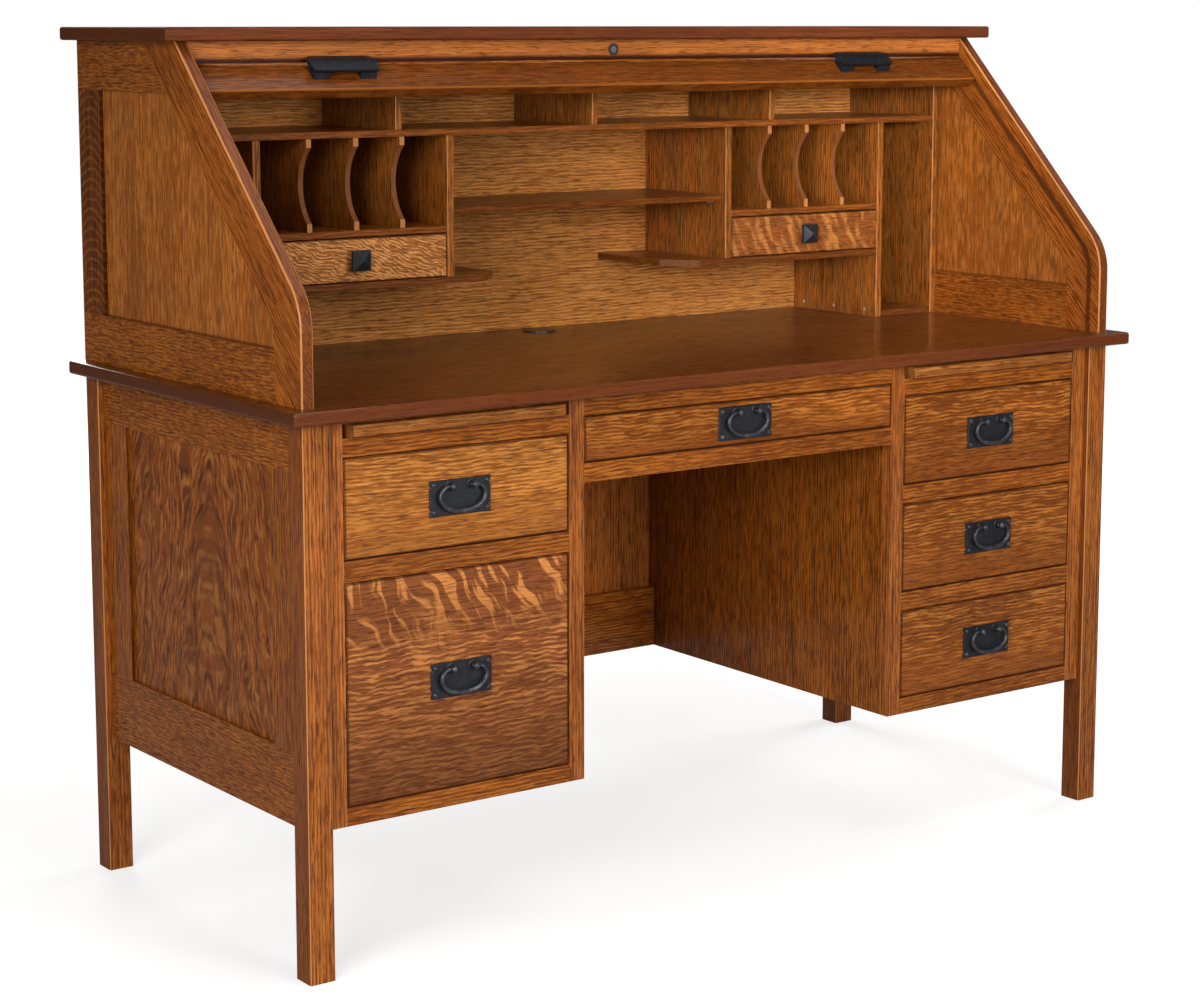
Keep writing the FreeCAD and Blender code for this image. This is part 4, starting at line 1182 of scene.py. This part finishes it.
def slat_tree(sides: int = 16, squareness: float = 0.4, fill: float = 0.97) -> Tree:
    """A tree that lays slats on the slope, drawn close together under the valance.

    Each slat keeps its place in a row that runs from 0 at the valance to 1 at the lift rail. The row is
    then pressed into the space between the two by undoing a smooth cubic step.

    Args:
        sides: How many flats go round a slat.
        squareness: The power that flattens a slat's round sides. 1 leaves them round.
        fill: How much of its share of the row a slat takes up.

    Returns:
        The tree.
    """
    tree = Tree("drawn_slats", {"Count": "Int", "Half Width": "Float", "Thickness": "Float",
                                "Start": "Vector", "Run": "Vector", "Outward": "Vector"})
    given = tree.given
    pitch = 1.0 / given["Count"]
    line = tree.output("GeometryNodeMeshLine", {
        "Count": given["Count"], "Start Location": tree.vector(0.0, 0.0, pitch / 2),
        "Offset": tree.vector(0.0, 0.0, pitch)}, mode="OFFSET", count_mode="TOTAL")
    bar = tree.output("GeometryNodeMeshCylinder", {"Vertices": sides, "Radius": 1.0, "Depth": 2.0})
    laid = tree.output("GeometryNodeTransform", {
        "Geometry": bar, "Rotation": Euler((0.0, math.pi / 2, 0.0))})
    x, y, z = tree.parts(tree.output("GeometryNodeInputPosition", {}))
    squared = [tree.maths("SIGN", side) * tree.maths("POWER", abs(side), squareness) for side in (y, z)]
    slat = tree.output("GeometryNodeSetPosition", {"Geometry": laid, "Position": tree.vector(x, *squared)})
    size = tree.vector(given["Half Width"], given["Thickness"] / 2, pitch * (fill / 2))
    row = tree.output("GeometryNodeInstanceOnPoints", {"Points": line, "Instance": slat, "Scale": size})
    whole = tree.output("GeometryNodeRealizeInstances", {"Geometry": row})
    # A smooth cubic step is undone by this formula.
    pressed = 0.5 - tree.maths("SINE", tree.maths("ARCSINE", 1.0 - z * 2.0) / 3.0)
    steps = (given["Start"], tree.scaled(given["Run"], pressed), tree.scaled(given["Outward"], y),
             tree.vector(x, 0.0, 0.0))
    place = reduce(lambda first, second: tree.output(
        "ShaderNodeVectorMath", {0: first, 1: second}, operation="ADD"), steps)
    tree.close(tree.output("GeometryNodeSetPosition", {"Geometry": whole, "Position": place}))
    return tree


# Sub-assemblies

@dataclass
class Bench:
    """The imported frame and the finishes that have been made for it.

    Attributes:
        nodes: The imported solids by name.
        made: How many finishes have been made, which gives each its own figure.
    """

    nodes: Mapping[str, bpy.types.Object]
    made: int = 0

    def mixed(self, name: str, finish: Finish) -> bpy.types.Material:
        """A fresh copy of a finish, with a figure of its own."""
        self.made += 1
        return finish.material(name, float(self.made))

    def dress(self, finishes: Mapping[str, Finish]) -> None:
        """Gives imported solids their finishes, in order.

        Args:
            finishes: Each solid's finish, by the solid's name.
        """
        for node, finish in finishes.items():
            material = self.mixed(node, finish)
            target = self.nodes[node]
            if not target.material_slots:
                target.data.materials.append(material)
            for place in target.material_slots:
                place.material = material
            LOG.info("dressed %s", node)

    def add(self, piece: bpy.types.Object, body: str, slot: str) -> None:
        """Makes a new piece ride on a body.

        Args:
            piece: The piece.
            body: The body that carries it.
            slot: The record's slot for its finish. Not used.
        """
        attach(piece, body)
        LOG.info("added %s on %s", piece.name, body)


@dataclass
class Case:
    """The fixed carcass: legs, frames, panels, tops and backs.

    Attributes:
        slope: The desk's slope.
        frame: Width of the upper sides' stiles and rails.
        joint: Width of the painted shadow along their joint with the panels.
        eased: How far the sloped stiles' edges are rounded.
        arch: Where the side panels' arches are, as a share of the panel from its back.
    """

    slope: Slope
    frame: float = 70.0 * MM
    joint: float = 4.0 * MM
    eased: float = 2.4 * MM
    arch: float = 0.54

    def dress(self, bench: Bench) -> None:
        """Gives the carcass its finishes.

        Args:
            bench: The frame and its finishes.
        """
        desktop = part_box("desktop")[1].z
        panel_low, panel_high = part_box("side_panels")
        arches = panel_high.y - self.arch * (panel_high.y - panel_low.y)
        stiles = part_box("side_stiles")[1].y - self.frame / 2
        valance = Rim.of("valance")
        # Only the valance's foot gets the painted shadow of the gap over the lift rail, so its other edges
        # are set well away.
        valance_shadow_rim = Rim(2 * valance.left, 2 * valance.right, valance.low, 2 * valance.high)
        upper = partial(Recipe.above, height=desktop)
        joint = partial(self.slope.joint, start=desktop, frame=self.frame, width=self.joint)
        # Painted light: the inner back is made lighter behind the top row, where the valance shades it.
        painted_light_top_row = partial(Recipe.above, height=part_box("letter_dividers")[1].z)
        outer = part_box("slope_stiles")[1].x
        edge = partial(Recipe.off_middle, inner=valance.right, outer=outer, fade=self.eased)
        bench.dress({
            **dict.fromkeys(("kneehole_sides", "back_stiles"), UPRIGHT_OAK),
            **dict.fromkeys(("face_rails", "back_rails", "tambour_slats"), LEVEL_OAK),
            # The joint mask lays painted shadow: a dark line where the recessed upper panels meet their
            # frame.
            "side_panels": replace(PANEL_OAK, start=desktop, middle=arches, stains_and_painted_light=(
                StainAndPaintedLight(upper, share=0.18, colour=PANEL_OAK.gold),
                StainAndPaintedLight(joint, share=0.6, colour=PANEL_OAK.pore))),
            "legs": LEG_OAK,
            "face_stiles": FACE_OAK,
            "back_panels": BACK_OAK,
            "valance": replace(VALANCE_OAK, rim=valance_shadow_rim),
            "inner_back": replace(GOLDEN_OAK, stains_and_painted_light=(StainAndPaintedLight(painted_light_top_row, share=0.35),)),
            # Faces of the side stiles that look to the front, beside the recessed panels, are darkened as
            # painted shade.
            "side_stiles": replace(STILE_OAK, start=desktop, middle=stiles, stains_and_painted_light=(
                StainAndPaintedLight(upper, share=-0.46), StainAndPaintedLight(Recipe.forward, share=-0.5))),
            **dict.fromkeys(("side_rails", "pedestal_floors"), DEPTH_OAK),
            # The edge band darkens the sloped stiles' front edge and the floor of the roll's groove; in the
            # groove it is painted shade.
            "slope_stiles": replace(SLOPE_OAK, stains_and_painted_light=(
                StainAndPaintedLight(edge, share=0.62, colour=(0.1, 0.024, 0.008)), PAINTED_EDGE_HIGHLIGHT)),
            "desktop": SMOOTH_OAK,
            "top_board": DARK_TOP_OAK,
            "drawer_runners": TrayWood(),
            "cable_grommet": Plastic(),
            "lock_barrel": DARK_STEEL,
            "lock_plug": STEEL,
            "tambour_canvas": Canvas(),
            **{board: replace(BOARD_OAK, rim=Rim.of(board))
               for board in [f"{side}_writing_board" for side in SIDES]}})


@dataclass
class Pull:
    """A drawer's iron pull: the rivets on its plate, its post balls and its bail.

    Attributes:
        plate: Thickness of the plate.
        rivet: Radius of a corner rivet.
        rivet_inset: Distance from the plate's edges to a rivet's middle.
        post_spacing: Distance between the two posts.
        ball: Radius of the ball on a post.
        rosette: Radius of the raised ring under a post.
        dome: How high rivets and balls rise, as a share of their radius.
        swell: How high a ring rises, as a share of its radius.
        bail_rise: Height of the bail's pivot over the middle of the plate.
        bail_standoff: Distance from the plate's face to the bail's pivot.
        thin: Radius of the bail at its ends.
        thick: Radius of the bail at its belly.
        line: Half of the bail's middle line, as places across and up from its pivot, in millimetres.
        steps: How many points each stretch of that line gets.
        sides: How many flats go round the bail.
    """

    plate: float = 3.0 * MM
    rivet: float = 3.6 * MM
    rivet_inset: float = 6.0 * MM
    post_spacing: float = 35.0 * MM
    ball: float = 4.8 * MM
    rosette: float = 7.6 * MM
    dome: float = 0.8
    swell: float = 0.2
    bail_rise: float = 16.0 * MM
    bail_standoff: float = 6.5 * MM
    thin: float = 2.4 * MM
    thick: float = 3.4 * MM
    line: tuple[Span, ...] = (
        (0.0, -34.5), (13.0, -33.2), (24.5, -29.0), (33.0, -21.5), (36.0, -13.5), (33.5, -6.0),
        (27.5, -1.2), (20.5, 0.0), (12.5, 0.0))
    steps: int = 5
    sides: int = 14

    def build(self, bench: Bench, drawer: str, domes: Tree) -> None:
        """Makes one drawer's pull on its plate.

        Args:
            bench: The frame and its finishes.
            drawer: The drawer's name.
            domes: The tree that sets domes on an upright face.
        """
        low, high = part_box(f"{drawer}_plate")
        middle = (low + high) / 2
        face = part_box(f"{drawer}_front")[0].y - self.plate
        pivot = Vector((middle.x, face - self.bail_standoff, middle.z + self.bail_rise))
        iron = bench.mixed(f"{drawer}_pull_iron", WORN_IRON)
        bench.dress({f"{drawer}_plate": PLATE_IRON})
        raised = bench.mixed(f"{drawer}_rosettes", PLATE_IRON)
        across = high.x - low.x - 2 * self.rivet_inset
        up = high.z - low.z - 2 * self.rivet_inset
        rivets = {"Rows": 2, "Across": across, "Up": up, "Radius": self.rivet,
                  "Rise": self.rivet * self.dome, "Centre": (middle.x, face, middle.z), "Finish": iron}
        posts = {"Rows": 1, "Across": self.post_spacing, "Up": 0.0}
        balls = {**posts, "Radius": self.ball, "Rise": self.ball * self.dome,
                 "Centre": (middle.x, low.y, pivot.z), "Finish": iron}
        rosettes = {**posts, "Radius": self.rosette, "Rise": self.rosette * self.swell,
                    "Centre": (middle.x, face, pivot.z), "Finish": raised}
        for name, values in (("rivets", rivets), ("post_balls", balls), ("rosettes", rosettes)):
            bench.add(domes.grow(f"{drawer}_{name}", {"Columns": 2, **values}), f"{drawer}_drawer", "iron")
        bail = new_piece(f"{drawer}_handle", self.bail(f"{drawer}_handle", pivot), iron)
        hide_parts(f"{drawer}_bail")
        bench.add(bail, f"{drawer}_bail", "iron")

    def bail(self, name: str, pivot: Vector) -> bpy.types.Mesh:
        """A bail that hangs from its pivot and is thickest at its belly.

        Args:
            name: The mesh's name.
            pivot: The middle of the line that it swings on.

        Returns:
            The mesh.
        """
        half = [Vector((across, 0.0, up)) * MM for across, up in self.line]
        mirrored = [Vector((-place.x, 0.0, place.z)) for place in half[:0:-1]]
        points = spline_points([pivot + place for place in mirrored + half], self.steps)
        drop = -half[0].z
        hung = [min((pivot.z - point.z) / drop, 1.0) for point in points]
        radii = [self.thin + (self.thick - self.thin) * share for share in hung]
        return rod_mesh(name, points, radii, self.sides)


@dataclass
class Drawers:
    """The six drawers of the lower case, each with its pull.

    Attributes:
        figures: The figure of each drawer front.
        pull: The pull that they share.
    """

    figures: dict[str, DrawerOak] = field(default_factory=lambda: {
        "left_box": LEFT_BOX_OAK, "left_file": LEFT_FILE_OAK,
        **dict.fromkeys(("right_bottom", "right_middle", "right_top", "pencil"), RIGHT_OAK)})
    pull: Pull = field(default_factory=Pull)

    def build(self, bench: Bench) -> None:
        """Dresses the drawers and makes their pulls.

        Args:
            bench: The frame and its finishes.
        """
        domes = dome_tree("front_domes", Euler((math.pi / 2, 0.0, 0.0)))
        for drawer, figure in self.figures.items():
            front = f"{drawer}_front"
            bench.dress({front: replace(figure, rim=Rim.of(front)), f"{drawer}_tray": TrayWood()})
            self.pull.build(bench, drawer, domes)


@dataclass
class Organizer:
    """The pigeonholes, letter slots and little drawers behind the roll.

    Attributes:
        divider_tab: Height of the square tabs at a divider's ends.
        divider_share: How strongly the dividers' front edges are recoloured.
        divider_tones: The colours laid on them, darker in the scoop and paler on the tabs.
        ledge_play: Gap between a letter drawer and the ledge under it.
        drawer_play: Gap between a letter drawer and the partition beside it.
        screws: How many screws a partition has.
        screw: Radius of a screw's head.
        screw_rise: How far it stands out.
        screw_height: How high the screws sit over the desktop.
        screw_inset: Distance from the partition's ends to the outer screws.
    """

    divider_tab: float = 12.0 * MM
    divider_share: float = 0.75
    divider_tones: tuple[Colour, Colour] = ((0.19, 0.068, 0.024), (0.52, 0.22, 0.07))
    ledge_play: float = 1.0 * MM
    drawer_play: float = 2.0 * MM
    screws: int = 3
    screw: float = 2.6 * MM
    screw_rise: float = 0.6 * MM
    screw_height: float = 11.0 * MM
    screw_inset: float = 28.0 * MM

    def dress(self, bench: Bench) -> None:
        """Gives the organizer its finishes.

        Args:
            bench: The frame and its finishes.
        """
        divider = Rim.of("letter_dividers")
        scoop = {"low": divider.low + self.divider_tab, "high": divider.high - self.divider_tab}
        masks = (partial(Recipe.scooped, **scoop), partial(Recipe.tabbed, **scoop))
        edges = [StainAndPaintedLight(mask, self.divider_share, tone) for mask, tone in zip(masks, self.divider_tones)]
        # Painted shade: the ledges under the letter drawers are darkened.
        shaded_ledges = partial(Recipe.below, height=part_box("left_letter_drawer")[0].z - self.ledge_play)
        bench.dress({
            "organizer_partitions": PARTITION_OAK,
            "letter_dividers": replace(PARTITION_OAK, stains_and_painted_light=(*edges, PAINTED_EDGE_HIGHLIGHT)),
            "organizer_shelves": replace(LEVEL_OAK, stains_and_painted_light=(
                StainAndPaintedLight(shaded_ledges, share=-0.45),
                StainAndPaintedLight(Recipe.forward, share=0.4, colour=(0.13, 0.038, 0.01))))})
        for side in SIDES:
            drawer = f"{side}_letter_drawer"
            figure = replace(LETTER_OAKS[side], rim=Rim.of(drawer))
            bench.dress({drawer: figure, f"{drawer}_knob": PLATE_IRON})
        bench.dress({"adjustable_shelf": BROWN_OAK, "shelf_pins": STEEL})

    def build(self, bench: Bench) -> None:
        """Sets the screws in the feet of the tall partitions.

        Args:
            bench: The frame and its finishes.
        """
        steel = bench.mixed("organizer_screws", STEEL)
        domes = dome_tree("side_domes", Euler((0.0, math.pi / 2, 0.0)))
        low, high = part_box("organizer_shelves")
        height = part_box("desktop")[1].z + self.screw_height
        left, right = [Rim.of(f"{side}_letter_drawer") for side in SIDES]
        for side, face in zip(SIDES, (left.left - self.drawer_play, right.right + self.drawer_play)):
            screws = domes.grow(f"{side}_screws", {
                "Columns": 1, "Rows": self.screws, "Across": 0.0,
                "Up": high.y - low.y - 2 * self.screw_inset, "Radius": self.screw, "Rise": self.screw_rise,
                "Centre": (face, (low.y + high.y) / 2, height), "Finish": steel})
            bench.add(screws, "case", "lock_steel")


@dataclass
class Roll:
    """The lift rail, its lifts and the slats that it draws down.

    Attributes:
        slope: The desk's slope.
        inset: Distance from the sloped edge to the outer face of the rail and the slats.
        rail_low: Where the lift rail starts, up the slope from its corner.
        rail_highlight_fade: Distances from the rail's lower edge between which its painted highlight line
            ends.
        thickness: Thickness of a slat.
        low: Where the drawn slats start, up the slope from its corner.
        high: Where they end.
        slats: How many slats are drawn down.
        end_play: Gap between a slat's end and the side.
    """

    slope: Slope
    inset: float = 19.0 * MM
    rail_low: float = 392.4 * MM
    rail_highlight_fade: Span = (1.4 * MM, 3.5 * MM)
    thickness: float = 10.0 * MM
    low: float = 439.6 * MM
    high: float = 444.5 * MM
    slats: int = 18
    end_play: float = 1.5 * MM

    def build(self, bench: Bench) -> None:
        """Dresses the lift rail and makes the slats drawn down above it.

        Args:
            bench: The frame and its finishes.
        """
        # Painted highlight: a bright line along the lift rail's lower front edge, where its rounding would
        # catch the light.
        edge = partial(self.slope.arris, up=self.rail_low, inward=self.inset, fade=self.rail_highlight_fade)
        rail = replace(BROWN_OAK, stains_and_painted_light=(StainAndPaintedLight(edge, share=0.85, colour=BROWN_OAK.gold),))
        bench.dress({"lift_rail": rail, "lifts": BLACK_IRON})
        middle = -self.inset - self.thickness / 2
        start, end = self.slope.place(self.high, middle), self.slope.place(self.low, middle)
        outward = self.slope.place(0.0, 1.0) - self.slope.place(0.0, 0.0)
        slats = slat_tree().grow("drawn_slats", {
            "Count": self.slats, "Half Width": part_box("valance")[1].x - self.end_play,
            "Thickness": self.thickness, "Start": start, "Run": end - start, "Outward": outward,
            "Finish": bench.mixed("drawn_slats", LEVEL_OAK)})
        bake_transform(slats)
        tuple(start)
        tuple(end)
        LOG.info("added %s between case and roll", slats.name)


# Studio

@dataclass(frozen=True)
class Lamp:
    """A large soft square lamp.

    Attributes:
        name: Its name.
        place: Where it hangs.
        aim: What it points at.
        size: The length of its sides.
        power: Its power in watts.
        spread: The angle that it shines into, in degrees.
    """

    name: str
    place: Place
    aim: Place
    size: float
    power: float
    spread: float = 180.0

    def hang(self) -> None:
        """Puts the lamp into the scene."""
        data = bpy.data.lights.new(self.name, "AREA")
        data.size = self.size
        data.energy = self.power
        data.spread = math.radians(self.spread)
        stand(self.name, data, self.place, Vector(self.aim) - Vector(self.place))


def stand(name: str, data: bpy.types.ID, place: Place, look: Vector) -> bpy.types.Object:
    """Puts a lamp or a camera into the scene.

    Args:
        name: Its name.
        data: The lamp or camera.
        place: Where it is.
        look: The direction in which it points.

    Returns:
        The object.
    """
    made = bpy.data.objects.new(name, data)
    made.location = place
    made.rotation_euler = look.to_track_quat("-Z", "Y").to_euler()
    bpy.context.scene.collection.objects.link(made)
    return made


def grey(level: float) -> tuple[float, float, float, float]:
    """A grey from 0, black, to 1, white."""
    return level, level, level, 1.0


@dataclass
class Studio:
    """Floor, light and camera.

    Attributes:
        eye: Where the camera stands.
        look: The direction in which it looks.
        focal: Its focal length, in pixels of the photograph.
        photo_width: Width of the photograph, in pixels.
        shift: How far the frame is moved down, as a share of its width.
        clip_end: How far the camera sees.
        floor_size: Half the width of the floor.
        floor_fade: Distances between which the floor turns into the plain background.
        floor_tones: How bright the floor is to the camera, and to the desk.
        floor_glow: How brightly it shines by itself to the camera, near and far.
        sky: Strength of the soft light from all round.
        mirrored_sky: Strength of the same light in reflections.
        backdrop: Strength of the white that is seen behind the desk.
        lamps: The lamps.
    """

    eye: Place = (-2.4002, -3.2380, 1.2555)
    look: Place = (0.5827, 0.8002, -0.1421)
    focal: float = 2654.9
    photo_width: float = 1200.0
    shift: float = -0.08
    clip_end: float = 100.0
    floor_size: float = 30.0
    floor_fade: Span = (1.6, 4.0)
    floor_tones: Span = (0.5, 0.35)
    floor_glow: Span = (0.62, 0.9)
    sky: float = 0.2
    mirrored_sky: float = 0.07
    backdrop: float = 1.0
    lamps: tuple[Lamp, ...] = (
        Lamp("front", place=(0.25, -3.9, 1.55), aim=(0.0, 0.0, 0.85), size=1.4, power=68.0),
        Lamp("left", place=(-3.3, -2.2, 1.6), aim=(0.0, 0.0, 0.85), size=1.8, power=105.0),
        Lamp("top", place=(0.0, -0.9, 3.3), aim=(0.0, 0.0, 0.77), size=1.8, power=28.0),
        Lamp("back", place=(0.6, 4.2, 2.0), aim=(0.0, 0.0, 0.7), size=2.0, power=95.0),
        Lamp("right", place=(3.8, 0.6, 1.7), aim=(0.0, 0.0, 0.7), size=1.8, power=75.0),
        Lamp("inside", place=(-1.9, -2.9, 1.45), aim=(0.65, 0.1, 1.08), size=0.5, power=1.2, spread=17.0))

    def camera(self) -> None:
        """Sets the camera at the photograph's viewing angle."""
        data = bpy.data.cameras.new("camera")
        data.lens = data.sensor_width * self.focal / self.photo_width
        data.shift_y = self.shift
        data.clip_end = self.clip_end
        bpy.context.scene.camera = stand("camera", data, self.eye, Vector(self.look))

    def floor(self) -> None:
        """Lays the pale floor, which shows white apart from the desk's shadow."""
        shape = bmesh.new()
        bmesh.ops.create_grid(shape, x_segments=1, y_segments=1, size=self.floor_size)
        mesh = bpy.data.meshes.new("floor")
        shape.to_mesh(mesh)
        shape.free()
        recipe = Recipe("floor")
        x, y, _ = recipe.place()
        far = recipe.maths("MAXIMUM", abs(x), abs(y)).ramp(*self.floor_fade)
        pale, matt = [recipe.output("ShaderNodeBsdfDiffuse", {"Color": grey(tone)})
                      for tone in self.floor_tones]
        tint = recipe.mix(far, *[grey(tone)[:3] for tone in self.floor_glow])
        glow = recipe.output("ShaderNodeEmission", {"Color": tint, "Strength": 1.0})
        shown = recipe.output("ShaderNodeAddShader", {0: pale, 1: glow})
        seen = recipe.output("ShaderNodeLightPath", {}, "Is Camera Ray")
        surface = recipe.output("ShaderNodeMixShader", {0: seen, 1: matt, 2: shown})
        new_piece("floor", mesh, recipe.finish(surface))

    def world(self) -> None:
        """Fills the room with soft light, and shows white behind the desk."""
        world = bpy.data.worlds.new("studio")
        bpy.context.scene.world = world
        world.use_nodes = True
        graph = Graph(world.node_tree)
        light, mirrored, shown = [
            graph.output("ShaderNodeBackground", {"Color": grey(1.0), "Strength": strength})
            for strength in (self.sky, self.mirrored_sky, self.backdrop)]
        for ray, other in (("Is Glossy Ray", mirrored), ("Is Camera Ray", shown)):
            chosen = graph.output("ShaderNodeLightPath", {}, ray)
            light = graph.output("ShaderNodeMixShader", {0: chosen, 1: light, 2: other})
        graph.node("ShaderNodeOutputWorld", {"Surface": light})

    def build(self) -> None:
        """Sets up the whole studio."""
        bpy.context.scene.view_settings.view_transform = "Standard"
        self.camera()
        self.floor()
        self.world()
        for lamp in self.lamps:
            lamp.hang()


def main() -> None:
    """Builds and dresses the desk, then the studio."""
    logging.basicConfig(level=logging.INFO)
    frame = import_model()
    bench = Bench(frame["nodes"])
    slope = Slope()
    Case(slope).dress(bench)
    Drawers().build(bench)
    organizer = Organizer()
    organizer.dress(bench)
    organizer.build(bench)
    Roll(slope).build(bench)
    Studio().build()


if __name__ == "__main__":
    main()
